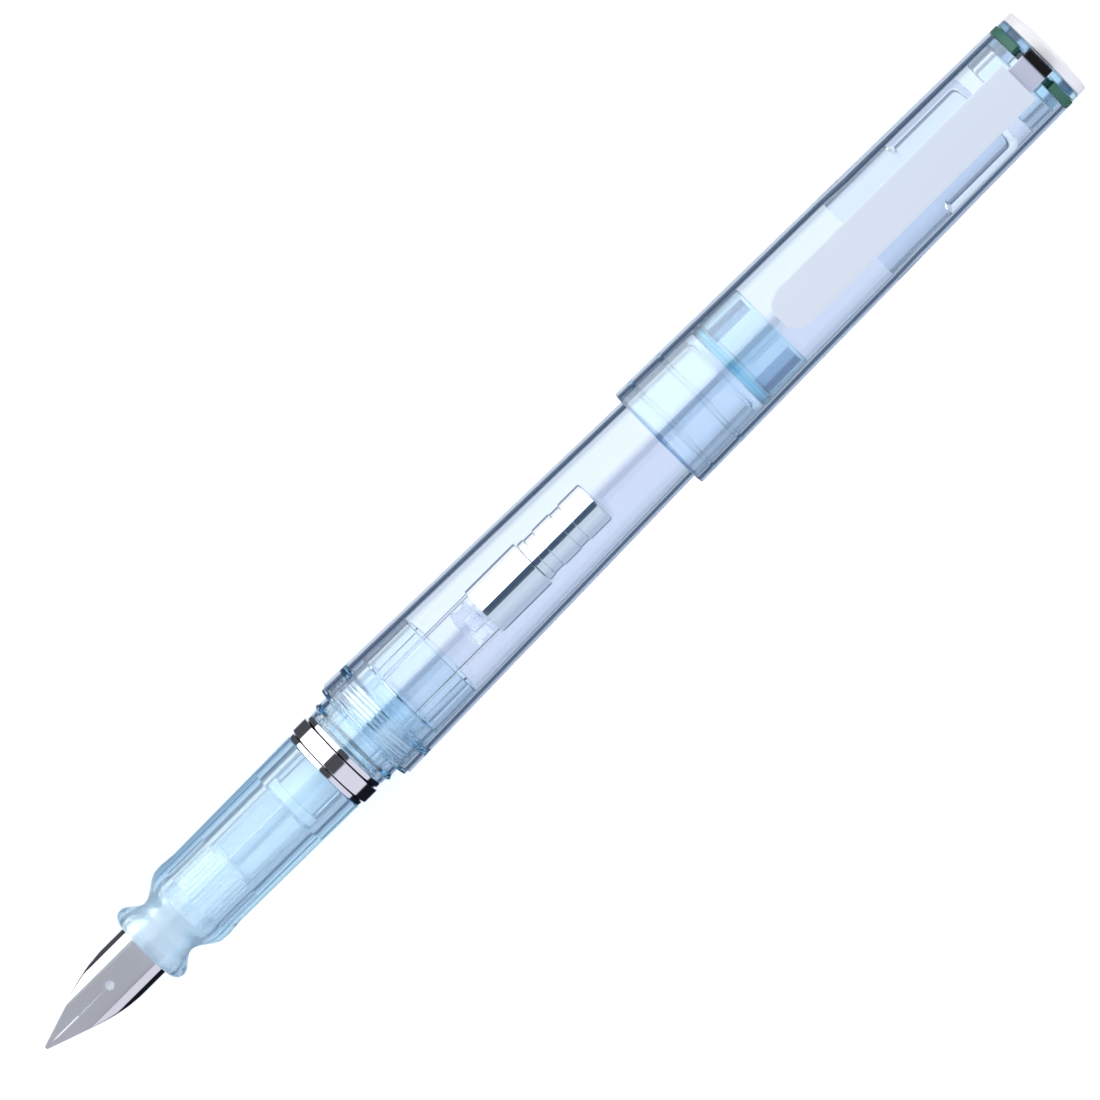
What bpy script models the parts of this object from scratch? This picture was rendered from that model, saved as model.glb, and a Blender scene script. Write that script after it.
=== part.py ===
"""A posted demonstrator fountain pen: every piece is its own object, in metres, +Z up.

The pen lies along X with the nib at -X, its clip on top, and its cap pushed onto the rear end of the barrel.
Stations are distances along the pen from the nib's point, radii are from the pen's axis.
The origin is under the middle of the pen, on the surface that it lies on.
"""

import math

import bmesh
import bpy
from mathutils import Vector

MM = 0.001

# Turned pieces: how many sides they have. Flats, and not corners, lie at the top and the bottom.
BIG_SIDES = 32
SMALL_SIDES = 20

# Driving dimensions: stations along the pen.
NIB_POINT = 0.0 * MM
LIP_FRONT = 15.75 * MM
LIP_CREST = 16.85 * MM
NECK = 19.35 * MM
SHOULDER = 22.9 * MM
SHOULDER_CREST = 23.7 * MM
WAIST = 25.4 * MM
GRIP_END = 44.16 * MM
RING_END = 47.75 * MM
BARREL_FRONT = 51.0 * MM
BARREL_END = 108.4 * MM
CAP_MOUTH = 97.3 * MM
CAP_TUBE_END = 155.65 * MM
PLUG_END = 157.75 * MM
PEN_LENGTH = 159.3 * MM

# Driving dimensions: radii.
LIP_R = 5.14 * MM
NECK_R = 3.76 * MM
SHOULDER_R = 5.53 * MM
WAIST_R = 5.36 * MM
GRIP_END_R = 5.57 * MM
RING_R = 5.82 * MM
BARREL_FRONT_R = 6.94 * MM
BARREL_END_R = 5.62 * MM
CAP_MOUTH_R = 7.0 * MM
CAP_HEAD_R = 6.15 * MM
BARREL_WALL = 0.8 * MM

# The flats of the widest turned piece touch the surface, so the axis is this high.
AXIS_HEIGHT = CAP_MOUTH_R * math.cos(math.pi / BIG_SIDES)

# A pressed or glued joint keeps a hairline, and a sliding one a little more.
HAIRLINE = 0.05 * MM
SLIDING_GAP = 0.06 * MM
JOINT_GAP = 0.25 * MM


# ---------------------------------------------------------------- scene and materials

for old in list(bpy.data.objects):
    bpy.data.objects.remove(old)


def material(name, colour, roughness, metallic=0.0, transmission=0.0):
    """A Principled BSDF of one colour."""
    made = bpy.data.materials.new(name)
    made.use_nodes = True
    shader = made.node_tree.nodes["Principled BSDF"]
    shader.inputs["Base Color"].default_value = (*colour, 1.0)
    shader.inputs["Roughness"].default_value = roughness
    shader.inputs["Metallic"].default_value = metallic
    shader.inputs["Transmission Weight"].default_value = transmission
    return made


CLEAR = material("clear_plastic", (0.86, 0.90, 0.97), 0.03, transmission=1.0)
BLUE = material("blue_plastic", (0.55, 0.78, 0.92), 0.06, transmission=0.9)
MILKY = material("milky_plastic", (0.88, 0.92, 0.96), 0.35, transmission=0.4)
STEEL = material("nib_steel", (0.62, 0.62, 0.65), 0.28, metallic=1.0)
CHROME = material("chrome", (0.85, 0.85, 0.87), 0.06, metallic=1.0)
SATIN = material("satin_metal", (0.86, 0.87, 0.90), 0.35, metallic=1.0)
WHITE = material("white_plastic", (0.93, 0.93, 0.95), 0.25)
GREEN = material("green_rubber", (0.05, 0.22, 0.15), 0.55)
SEAL = material("seal_rubber", (0.55, 0.58, 0.62), 0.5)


# ---------------------------------------------------------------- shape tools


def along(station):
    """X of a station: the pen's middle is over the origin."""
    return station - PEN_LENGTH / 2


def node(name, bm, finish, origin=(0.0, 0.0, 0.0), smooth_angle=40):
    """Turns a bmesh made about the pen's axis into a named object whose own origin is at this point."""
    bmesh.ops.translate(bm, verts=bm.verts, vec=-Vector(origin))
    bmesh.ops.remove_doubles(bm, verts=bm.verts, dist=1e-7)
    bmesh.ops.recalc_face_normals(bm, faces=bm.faces)
    mesh = bpy.data.meshes.new(name)
    bm.to_mesh(mesh)
    bm.free()
    mesh.materials.append(finish)
    mesh.shade_smooth()
    mesh.set_sharp_from_angle(angle=math.radians(smooth_angle))
    obj = bpy.data.objects.new(name, mesh)
    bpy.context.scene.collection.objects.link(obj)
    obj.location = Vector(origin) + Vector((0.0, 0.0, AXIS_HEIGHT))
    return obj


def turned_mesh(profile, sides, wave=None):
    """Spins a closed profile of (station, radius) about the pen's axis.

    wave(station, radius, angle) gives the radius that a corner moves to, for flutes and threads.
    """
    bm = bmesh.new()
    start = math.pi / sides
    corners = []
    for station, radius in profile:
        y, z = radius * math.sin(start), radius * math.cos(start)
        corners.append(bm.verts.new((along(station), y, z)))
    ring = [bm.edges.new(pair) for pair in zip(corners, corners[1:])]
    if profile[0][1] > 0:
        ring.append(bm.edges.new((corners[-1], corners[0])))
    bmesh.ops.spin(
        bm,
        geom=corners + ring,
        cent=(0, 0, 0),
        axis=(1, 0, 0),
        angle=2 * math.pi,
        steps=sides,
        use_merge=True,
    )
    bmesh.ops.remove_doubles(bm, verts=bm.verts, dist=1e-7)
    if wave is not None:
        for v in bm.verts:
            radius = math.hypot(v.co.y, v.co.z)
            if radius > 0:
                moved = wave(v.co.x + PEN_LENGTH / 2, radius, math.atan2(v.co.z, v.co.y))
                v.co.y *= moved / radius
                v.co.z *= moved / radius
    return bm


def turned(name, profile, finish, sides=BIG_SIDES, wave=None):
    """A turned piece. Its profile ends on the axis at both ends, or closes on itself round a hole."""
    return node(name, turned_mesh(profile, sides, wave), finish)


def eased(start, end, steps):
    """Points from start to end that leave and arrive level, along a cosine."""
    points = []
    for i in range(steps + 1):
        u = i / steps
        share = (1 - math.cos(math.pi * u)) / 2
        points.append((start[0] + (end[0] - start[0]) * u, start[1] + (end[1] - start[1]) * share))
    return points


def quarter_round(centre, size, first, steps=3):
    """Points of a quarter of an ellipse about centre, from the angle first in degrees, rising by 90."""
    points = []
    for i in range(steps + 1):
        a = math.radians(first + 90 * i / steps)
        points.append((centre[0] + size[0] * math.cos(a), centre[1] + size[1] * math.sin(a)))
    return points


def lofted(name, sections, finish, origin=(0.0, 0.0, 0.0)):
    """A closed skin over sections, each the same number of points in order round the shape."""
    bm = bmesh.new()
    rings = [[bm.verts.new(p) for p in section] for section in sections]
    for a, b in zip(rings, rings[1:]):
        count = len(a)
        for i in range(count):
            j = (i + 1) % count
            bm.faces.new((a[i], a[j], b[j], b[i]))
    bm.faces.new(rings[0])
    bm.faces.new(rings[-1][::-1])
    return node(name, bm, finish, origin)


def cut(obj, cutter):
    """Takes the cutter out of obj, and keeps the cutter as a hidden guide."""
    cutter.hide_render = True
    cutter.display_type = "WIRE"
    boolean = obj.modifiers.new("cut_" + cutter.name, "BOOLEAN")
    boolean.operation = "DIFFERENCE"
    boolean.object = cutter


def block(name, low, high):
    """A box between two corners, measured from the pen's axis, for use as a cutter."""
    bm = bmesh.new()
    bmesh.ops.create_cube(bm, size=1.0)
    for v in bm.verts:
        v.co = [low[k] if v.co[k] < 0 else high[k] for k in range(3)]
    return node(name, bm, CLEAR)


def post(name, station, radius, low, high, sides=12):
    """An upright round bar, for use as a cutter."""
    bm = bmesh.new()
    bmesh.ops.create_cone(
        bm, cap_ends=True, segments=sides, radius1=radius, radius2=radius, depth=high - low
    )
    bmesh.ops.translate(bm, verts=bm.verts, vec=(along(station), 0, (low + high) / 2))
    return node(name, bm, CLEAR)


# ---------------------------------------------------------------- nib
# A sheet of steel folded down at both sides, cut to a point, slit from the point to its vent hole.

NIB_SHEET = 0.25 * MM
NIB_TOP = 2.3 * MM
NIB_FLAT = 1.74 * MM
NIB_FLAT_TAIL = 1.5 * MM
NIB_FOLD_R = 1.71 * MM
NIB_FOLD_R_TAIL = 1.4 * MM
NIB_BEND_START = 9.0 * MM
NIB_BEND_DROP = 1.1 * MM
NIB_NARROWS = 16.6 * MM
NIB_NARROWED = 18.4 * MM
NIB_FLAT_ENDS = 4.6 * MM
NIB_FULL_WIDTH = 12.6 * MM
NIB_POINT_WIDTH = 0.24 * MM
VENT_STATION = 10.2 * MM
VENT_R = 0.53 * MM
SLIT_WIDTH = 0.09 * MM
NIB_ACROSS = 6


def share_between(value, low, high):
    """0 at low, 1 at high, and held to those beyond them."""
    return min(1.0, max(0.0, (value - low) / (high - low)))


def nib_top(station):
    """Height of the nib's flat: level at the back, and bending down to the point."""
    u = share_between(NIB_BEND_START - station, 0.0, NIB_BEND_START)
    return NIB_TOP - NIB_BEND_DROP * u * u


def nib_half_width(station):
    """Half the nib's width from above: a straight taper, a curve out to full width, then a slimmer tail."""
    if station < NIB_FLAT_ENDS:
        u = station / NIB_FLAT_ENDS
        return NIB_POINT_WIDTH + (NIB_FLAT - NIB_POINT_WIDTH) * u
    full = NIB_FLAT + NIB_FOLD_R
    if station < NIB_FULL_WIDTH:
        u = share_between(station, NIB_FLAT_ENDS, NIB_FULL_WIDTH)
        return NIB_FLAT + NIB_FOLD_R * math.sin(math.pi / 2 * u)
    tail = NIB_FLAT_TAIL + NIB_FOLD_R_TAIL
    return full + (tail - full) * share_between(station, NIB_NARROWS, NIB_NARROWED)


def nib_section(station):
    """The folded sheet at one station: its upper skin from -Y to +Y, then its lower skin back."""
    narrow = share_between(station, NIB_NARROWS, NIB_NARROWED)
    flat = NIB_FLAT + (NIB_FLAT_TAIL - NIB_FLAT) * narrow
    fold = NIB_FOLD_R + (NIB_FOLD_R_TAIL - NIB_FOLD_R) * narrow
    width = nib_half_width(station)
    top = nib_top(station)
    bend = math.asin(min(1.0, max(0.0, (width - flat) / fold)))
    reach = min(width, flat)
    skins = []
    for depth in (0.0, NIB_SHEET):
        half = []
        for i in range(NIB_ACROSS + 1):
            u = i / NIB_ACROSS * (2.0 if bend > 0 else 1.0)
            if u <= 1.0:
                half.append((reach * u, top - depth))
            else:
                a = bend * (u - 1.0)
                r = fold - depth
                half.append((flat + r * math.sin(a), top - fold + r * math.cos(a)))
        skins.append([(-y, z) for y, z in half[:0:-1]] + half)
    x = along(station)
    return [Vector((x, y, z)) for y, z in skins[0] + skins[1][::-1]]


def nib_stations():
    """Close together where the outline curves."""
    marks = [0.0, 0.4, 1.5, 3.0, 4.6, 5.4, 6.3, 7.4, 9.0, 10.8, 12.6, 14.6, 16.6, 17.5, 18.4, 22.2]
    return [m * MM for m in marks]


def make_nib():
    nib = lofted("nib", [nib_section(s) for s in nib_stations()], STEEL)
    cut(nib, post("vent_cutter", VENT_STATION, VENT_R, 0.0, NIB_TOP + 1 * MM))
    slit_low = (along(NIB_POINT - 1 * MM), -SLIT_WIDTH / 2, -1 * MM)
    slit_high = (along(VENT_STATION), SLIT_WIDTH / 2, NIB_TOP + 1 * MM)
    cut(nib, block("slit_cutter", slit_low, slit_high))
    return nib


make_nib()


# ---------------------------------------------------------------- feed
# Moulded plastic under the nib: a round-bellied tongue outside, comb fins inside the grip.

FEED_TIP = 5.2 * MM
FEED_OUT = 15.4 * MM
FEED_TAIL = 29.6 * MM
FEED_TOP_GAP = 0.1 * MM
FEED_R = 2.5 * MM
FEED_CORE_R = 1.75 * MM
FEED_TIP_WIDTH = 0.45 * MM
FEED_TIP_DEPTH = 0.5 * MM
FEED_TOP = NIB_TOP - NIB_SHEET - FEED_TOP_GAP
FIN_START = 17.4 * MM
FIN_PITCH = 1.6 * MM
FIN_COUNT = 6
FIN_THICK = 0.7 * MM
FEED_ROUND = 8


def feed_section(station, width, depth, top):
    """A D lying on its flat: level on top, a half ellipse below."""
    x = along(station)
    points = [Vector((x, -width, top)), Vector((x, width, top))]
    for i in range(1, FEED_ROUND):
        a = math.pi * i / FEED_ROUND
        points.append(Vector((x, width * math.cos(a), -depth * math.sin(a))))
    return points


def feed_top_under_nib(station):
    return nib_top(station) - NIB_SHEET - FEED_TOP_GAP


def make_feed():
    sections = []
    outside = 5
    for i in range(outside + 1):
        u = i / outside
        station = FEED_TIP + (FEED_OUT - FEED_TIP) * u
        width = FEED_TIP_WIDTH + (FEED_CORE_R - FEED_TIP_WIDTH) * math.sin(math.pi / 2 * u)
        depth = FEED_TIP_DEPTH + (FEED_R - FEED_TIP_DEPTH) * math.sin(math.pi / 2 * u)
        sections.append(feed_section(station, width, depth, feed_top_under_nib(station)))
    for i in range(FIN_COUNT):
        front = FIN_START + FIN_PITCH * i
        for station, size in (
            (front, FEED_CORE_R),
            (front + HAIRLINE, FEED_R),
            (front + FIN_THICK, FEED_R),
            (front + FIN_THICK + HAIRLINE, FEED_CORE_R),
        ):
            sections.append(feed_section(station, FEED_CORE_R, size, FEED_TOP))
    sections.append(feed_section(FEED_TAIL, FEED_CORE_R, FEED_CORE_R, FEED_TOP))
    return lofted("feed", sections, MILKY)


make_feed()


# ---------------------------------------------------------------- feed collar
# A moulded holder pressed into the grip: its flutes grip the bore, and its tail is the converter's nipple.

COLLAR_FRONT = 22.7 * MM
FLUTES_START = 23.7 * MM
FLUTES_END = 29.2 * MM
COLLAR_END = 38.3 * MM
NIPPLE_END = 43.4 * MM
GRIP_BORE_R = 3.2 * MM
FLUTE_COUNT = 36
FLUTE_DEPTH = 0.18 * MM
COLLAR_R = 3.1 * MM
COLLAR_REAR_R = 3.0 * MM
COLLAR_BORE_R = 2.68 * MM
COLLAR_BORE_END = 30.0 * MM
NIPPLE_R = 1.42 * MM
INK_HOLE_R = 0.55 * MM


def collar_flutes(station, radius, angle):
    """Every second corner of the fluted stretch drops by the flute's depth."""
    outside = radius > COLLAR_BORE_R + HAIRLINE
    if outside and FLUTES_START - HAIRLINE < station < FLUTES_END + HAIRLINE:
        step = round(angle / (math.pi / FLUTE_COUNT) - 0.5)
        return radius - FLUTE_DEPTH * (step % 2)
    return radius


def make_feed_collar():
    profile = [
        (COLLAR_FRONT, COLLAR_BORE_R),
        (COLLAR_FRONT, COLLAR_R - FLUTE_DEPTH),
        (FLUTES_START - 2 * HAIRLINE, COLLAR_R - FLUTE_DEPTH),
        (FLUTES_START, COLLAR_R),
        (FLUTES_END, COLLAR_R),
        (FLUTES_END + 2 * HAIRLINE, COLLAR_R - FLUTE_DEPTH),
        (COLLAR_END, COLLAR_REAR_R),
        (COLLAR_END, NIPPLE_R),
        (NIPPLE_END, NIPPLE_R - 2 * HAIRLINE),
        (NIPPLE_END, INK_HOLE_R),
        (COLLAR_BORE_END, INK_HOLE_R),
        (COLLAR_BORE_END, COLLAR_BORE_R),
    ]
    return turned("feed_collar", profile, MILKY, 2 * FLUTE_COUNT, collar_flutes)


make_feed_collar()


# ---------------------------------------------------------------- screw thread of grip and barrel
# Rounded, right-hand and coarse, as moulded threads are. Both halves follow one wave with a gap between them,
# and the barrel's half opens out at its mouth, so that the grip's half can leave it.

THREAD_START = 51.2 * MM
THREAD_PITCH = 1.1 * MM
THREAD_TURNS = 3
THREAD_ROOT_R = 4.45 * MM
THREAD_DEPTH = 0.42 * MM
THREAD_GAP = 0.16 * MM
THREAD_ROWS = 4 * THREAD_TURNS
THREAD_END = THREAD_START + THREAD_PITCH * THREAD_TURNS


def thread_rows(radius):
    """Profile points a quarter of a pitch apart along the threaded stretch."""
    length = THREAD_END - THREAD_START
    return [(THREAD_START + length * i / THREAD_ROWS, radius) for i in range(THREAD_ROWS + 1)]


def thread_rise(station, angle, at_start):
    """Height of the thread over its root: at_start at the first row, running out to nothing at the last."""
    turns = (station - THREAD_START) / THREAD_PITCH
    helix = (1 - math.cos(2 * math.pi * turns - angle)) / 2
    run_in = min(1.0, turns * 2)
    run_out = min(1.0, (THREAD_TURNS - turns) * 2)
    return (helix * run_in * run_out + at_start / THREAD_DEPTH * (1 - run_in)) * THREAD_DEPTH


def thread_wave(root, at_start=0.0):
    """The wave for a turned piece whose thread has this root radius."""

    def wave(station, radius, angle):
        in_thread = THREAD_START - 1e-6 < station < THREAD_END + 1e-6
        if in_thread and abs(radius - root) < 1e-6:
            return radius + thread_rise(station, angle, at_start)
        return radius

    return wave


# ---------------------------------------------------------------- grip section
# Thick clear-blue plastic: a lip round the nib, a waisted neck, a long grip, and a threaded tail.

GRIP_TAIL = 56.2 * MM
TAIL_R = 4.45 * MM
LIP_HOLE_R = 3.62 * MM
LIP_HOLE_END = 16.9 * MM
NECK_BORE_START = 18.6 * MM
NECK_BORE_R = 3.2 * MM
CONVERTER_BORE = 38.5 * MM
CONVERTER_BORE_R = 3.6 * MM
LIP_FACE_R = 4.2 * MM


def make_grip_section():
    nose = quarter_round((LIP_CREST, LIP_FACE_R), (LIP_CREST - LIP_FRONT, LIP_R - LIP_FACE_R), 90)
    outside = nose[::-1]
    outside += eased((LIP_CREST, LIP_R), (NECK, NECK_R), 5)[1:]
    outside += eased((NECK, NECK_R), (SHOULDER, SHOULDER_R - HAIRLINE), 5)[1:]
    outside += [(SHOULDER_CREST, SHOULDER_R), (WAIST, WAIST_R), (GRIP_END, GRIP_END_R)]
    tail = [(GRIP_END, TAIL_R)] + thread_rows(THREAD_ROOT_R) + [(GRIP_TAIL, TAIL_R - HAIRLINE)]
    inside = [
        (GRIP_TAIL, CONVERTER_BORE_R),
        (CONVERTER_BORE, CONVERTER_BORE_R),
        (CONVERTER_BORE, GRIP_BORE_R),
        (NECK_BORE_START, NECK_BORE_R),
        (LIP_HOLE_END, LIP_HOLE_R),
        (LIP_FRONT, LIP_HOLE_R),
    ]
    profile = outside + tail + inside
    return turned("grip_section", profile, BLUE, wave=thread_wave(THREAD_ROOT_R))


make_grip_section()


# ---------------------------------------------------------------- trim ring
# One turned, plated ring: a wide band between two thin lips, loose on the grip's tail.

RING_BORE_R = 4.62 * MM
RING_LIP_R = 5.53 * MM
RING_GROOVE_R = 5.3 * MM
RING_LIP = 0.62 * MM
RING_GROOVE = 0.16 * MM
RING_BEVEL = 0.08 * MM


def banded(start, end, radius):
    """One band of the ring, with its two corners taken off."""
    return [
        (start, radius - RING_BEVEL),
        (start + RING_BEVEL, radius),
        (end - RING_BEVEL, radius),
        (end, radius - RING_BEVEL),
    ]


def make_trim_ring():
    front, end = GRIP_END + HAIRLINE, RING_END
    profile = banded(front, front + RING_LIP, RING_LIP_R)
    profile += [(front + RING_LIP, RING_GROOVE_R), (front + RING_LIP + RING_GROOVE, RING_GROOVE_R)]
    profile += banded(front + RING_LIP + RING_GROOVE, end - RING_LIP - RING_GROOVE, RING_R)
    profile += [(end - RING_LIP - RING_GROOVE, RING_GROOVE_R), (end - RING_LIP, RING_GROOVE_R)]
    profile += banded(end - RING_LIP, end, RING_LIP_R)
    profile += [(end, RING_BORE_R), (front, RING_BORE_R)]
    return turned("trim_ring", profile, CHROME)


make_trim_ring()


# ---------------------------------------------------------------- barrel insert
# A clear-blue threaded sleeve bonded into the barrel: in front it shows the cap's snap ridge and a flange.

INSERT_FRONT = RING_END + HAIRLINE
INSERT_END = 62.9 * MM
FLANGE_FRONT = 50.4 * MM
FLANGE_R = 6.68 * MM
SNAP_FRONT = 48.4 * MM
SNAP_CREST = 48.8 * MM
SNAP_BACK = 49.3 * MM
SNAP_R = 5.95 * MM
INSERT_NOSE_R = 5.55 * MM
INSERT_NECK_R = 5.72 * MM
INSERT_TAIL_BORE_R = 5.0 * MM
RIB_START = 53.4 * MM
RIB_END = 54.5 * MM
RIB_HEIGHT = 0.08 * MM


def barrel_r(station):
    """Outside radius of the barrel: a straight taper."""
    return BARREL_FRONT_R + (BARREL_END_R - BARREL_FRONT_R) * share_between(
        station, BARREL_FRONT, BARREL_END
    )


def barrel_bore_r(station):
    return barrel_r(station) - BARREL_WALL


def make_barrel_insert():
    thread_root = THREAD_ROOT_R + THREAD_GAP

    def sleeve_r(station, rise=0.0):
        return barrel_bore_r(station) - HAIRLINE - RIB_HEIGHT + rise

    outside = [
        (INSERT_FRONT, INSERT_NOSE_R),
        (SNAP_FRONT, INSERT_NOSE_R),
        (SNAP_CREST, SNAP_R),
        (SNAP_BACK, INSERT_NECK_R),
        (FLANGE_FRONT, INSERT_NECK_R),
        (FLANGE_FRONT, FLANGE_R - RING_BEVEL),
        (FLANGE_FRONT + RING_BEVEL, FLANGE_R),
        (BARREL_FRONT - HAIRLINE, FLANGE_R),
        (BARREL_FRONT - HAIRLINE, sleeve_r(BARREL_FRONT)),
        (RIB_START, sleeve_r(RIB_START)),
        (RIB_START + HAIRLINE, sleeve_r(RIB_START, RIB_HEIGHT)),
        (RIB_END - HAIRLINE, sleeve_r(RIB_END, RIB_HEIGHT)),
        (RIB_END, sleeve_r(RIB_END)),
        (INSERT_END, sleeve_r(INSERT_END)),
    ]
    inside = [(INSERT_END, INSERT_TAIL_BORE_R), (GRIP_TAIL + JOINT_GAP, INSERT_TAIL_BORE_R)]
    inside += [(GRIP_TAIL, thread_root)]
    inside += thread_rows(thread_root)[::-1]
    inside += [(INSERT_FRONT, thread_root + THREAD_DEPTH)]
    opening = thread_wave(thread_root, THREAD_DEPTH)
    return turned("barrel_insert", outside + inside, BLUE, wave=opening)


make_barrel_insert()


# ---------------------------------------------------------------- barrel tube
# Clear plastic, tapering to the rear, closed there by its own rounded end.

BARREL_END_WALL = 1.6 * MM
BARREL_BOTTOM_ROUND = 1.6 * MM
BARREL_EDGE = 0.25 * MM


def make_barrel_tube():
    bottom = BARREL_END - BARREL_END_WALL
    round_start = bottom - BARREL_BOTTOM_ROUND
    bore = barrel_bore_r(round_start)
    rounded = quarter_round(
        (round_start, bore - BARREL_BOTTOM_ROUND), (BARREL_BOTTOM_ROUND, BARREL_BOTTOM_ROUND), 0
    )
    profile = [(bottom, 0.0)] + rounded
    profile += [
        (BARREL_FRONT, barrel_bore_r(BARREL_FRONT)),
        (BARREL_FRONT, BARREL_FRONT_R),
        (BARREL_END - BARREL_EDGE, barrel_r(BARREL_END - BARREL_EDGE)),
        (BARREL_END, BARREL_END_R - BARREL_EDGE),
        (BARREL_END, 0.0),
    ]
    return turned("barrel_tube", profile, CLEAR)


make_barrel_tube()


# ---------------------------------------------------------------- converter body
# The ink pump on the nipple: a soft mouth, a clear tube, a plated sleeve, and a guide for the piston rod.

MOUTH_FRONT = 38.75 * MM
MOUTH_FLANGE_END = 39.9 * MM
MOUTH_FLANGE_R = 3.35 * MM
MOUTH_END = 44.6 * MM
MOUTH_BORE_R = 1.55 * MM
TUBE_R = 2.95 * MM
TUBE_BORE_R = 2.55 * MM
TUBE_END = 76.6 * MM
SLEEVE_FRONT = 69.66 * MM
SLEEVE_END = 77.45 * MM
SLEEVE_R = 3.2 * MM
GUIDE_FRONT = 72.4 * MM
GUIDE_BORE_R = 1.62 * MM
KNOB_NECK_R = 2.05 * MM


def make_converter_mouth():
    profile = [
        (MOUTH_FRONT, MOUTH_BORE_R),
        (MOUTH_FRONT, MOUTH_FLANGE_R - RING_BEVEL),
        (MOUTH_FRONT + RING_BEVEL, MOUTH_FLANGE_R),
        (MOUTH_FLANGE_END, MOUTH_FLANGE_R),
        (MOUTH_FLANGE_END, TUBE_BORE_R - HAIRLINE),
        (MOUTH_END, TUBE_BORE_R - HAIRLINE),
        (MOUTH_END, MOUTH_BORE_R),
    ]
    return turned("converter_mouth", profile, MILKY, SMALL_SIDES)


def make_converter_tube():
    front = MOUTH_FLANGE_END + HAIRLINE
    profile = [(front, TUBE_BORE_R), (front, TUBE_R), (TUBE_END, TUBE_R), (TUBE_END, TUBE_BORE_R)]
    return turned("converter_tube", profile, CLEAR, SMALL_SIDES)


def make_converter_sleeve():
    profile = [
        (SLEEVE_FRONT, TUBE_R + HAIRLINE),
        (SLEEVE_FRONT, SLEEVE_R - RING_BEVEL),
        (SLEEVE_FRONT + RING_BEVEL, SLEEVE_R),
        (SLEEVE_END - RING_BEVEL, SLEEVE_R),
        (SLEEVE_END, SLEEVE_R - RING_BEVEL),
        (SLEEVE_END, KNOB_NECK_R + SLIDING_GAP),
        (TUBE_END + HAIRLINE, KNOB_NECK_R + SLIDING_GAP),
        (TUBE_END + HAIRLINE, TUBE_R + HAIRLINE),
    ]
    return turned("converter_sleeve", profile, CHROME, SMALL_SIDES)


def make_piston_guide():
    profile = [
        (GUIDE_FRONT, GUIDE_BORE_R),
        (GUIDE_FRONT, TUBE_BORE_R - HAIRLINE),
        (TUBE_END - JOINT_GAP, TUBE_BORE_R - HAIRLINE),
        (TUBE_END - JOINT_GAP, GUIDE_BORE_R),
    ]
    return turned("piston_guide", profile, WHITE, SMALL_SIDES)


make_converter_mouth()
make_converter_tube()
make_converter_sleeve()
make_piston_guide()


# ---------------------------------------------------------------- converter knob and drive screw
# A plated cup that the fingers turn, with a coarse screw fixed in the bottom of it.

KNOB_FRONT = SLEEVE_END + SLIDING_GAP
KNOB_END = 87.4 * MM
KNOB_R = 2.8 * MM
KNOB_BORE_R = 1.78 * MM
KNOB_BOTTOM = 86.5 * MM
KNOB_BEVEL = 0.35 * MM
FINGER_GROOVE_R = 2.68 * MM
FINGER_GROOVES = ((78.4 * MM, 79.9 * MM), (82.5 * MM, 84.0 * MM))
NECK_FRONT = 76.9 * MM
SCREW_FRONT = 69.5 * MM
SCREW_CORE_R = 0.62 * MM
SCREW_CREST_R = 0.95 * MM
SCREW_LEAD = 4.0 * MM
SCREW_ROWS = 24
SCREW_SIDES = 10


def make_converter_knob():
    outside = [
        (NECK_FRONT, KNOB_NECK_R),
        (KNOB_FRONT, KNOB_NECK_R),
        (KNOB_FRONT, KNOB_R - RING_BEVEL),
        (KNOB_FRONT + RING_BEVEL, KNOB_R),
    ]
    for start, end in FINGER_GROOVES:
        outside += [
            (start, KNOB_R),
            (start + RING_BEVEL, FINGER_GROOVE_R),
            (end - RING_BEVEL, FINGER_GROOVE_R),
            (end, KNOB_R),
        ]
    outside += quarter_round(
        (KNOB_END - KNOB_BEVEL, KNOB_R - KNOB_BEVEL), (KNOB_BEVEL, KNOB_BEVEL), 0
    )[::-1]
    profile = outside + [(KNOB_END, 0.0)]
    inside = [(KNOB_BOTTOM, 0.0), (KNOB_BOTTOM, KNOB_BORE_R), (NECK_FRONT, KNOB_BORE_R)]
    return turned("converter_knob", inside + profile, CHROME, SMALL_SIDES)


def make_drive_screw():
    """A rod whose corners rise and fall along a two-start helix."""

    def helix(station, radius, angle):
        if radius > SCREW_CORE_R - 1e-6 and SCREW_FRONT < station < KNOB_BOTTOM - JOINT_GAP:
            phase = 2 * (angle - 2 * math.pi * station / SCREW_LEAD)
            return SCREW_CORE_R + (SCREW_CREST_R - SCREW_CORE_R) * (1 + math.cos(phase)) / 2
        return radius

    end = KNOB_BOTTOM - HAIRLINE
    rows = [
        (SCREW_FRONT + (end - SCREW_FRONT) * i / SCREW_ROWS, SCREW_CORE_R)
        for i in range(SCREW_ROWS + 1)
    ]
    profile = [(SCREW_FRONT, 0.0)] + rows + [(end, 0.0)]
    return turned("drive_screw", profile, WHITE, SCREW_SIDES, helix)


make_converter_knob()
make_drive_screw()


# ---------------------------------------------------------------- piston
# A hollow rod that the screw drives without turning it, and a soft two-lipped seal on its front.

SEAL_FRONT = 66.3 * MM
SEAL_END = 68.9 * MM
SEAL_LIP_R = 2.47 * MM
SEAL_WAIST_R = 2.15 * MM
SEAL_NOSE_R = 1.5 * MM
ROD_FRONT = 67.3 * MM
ROD_R = 1.5 * MM
ROD_STEM_R = 0.9 * MM
ROD_BORE_R = 1.12 * MM
ROD_BORE_FRONT = 69.2 * MM
ROD_END = 86.1 * MM


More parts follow.
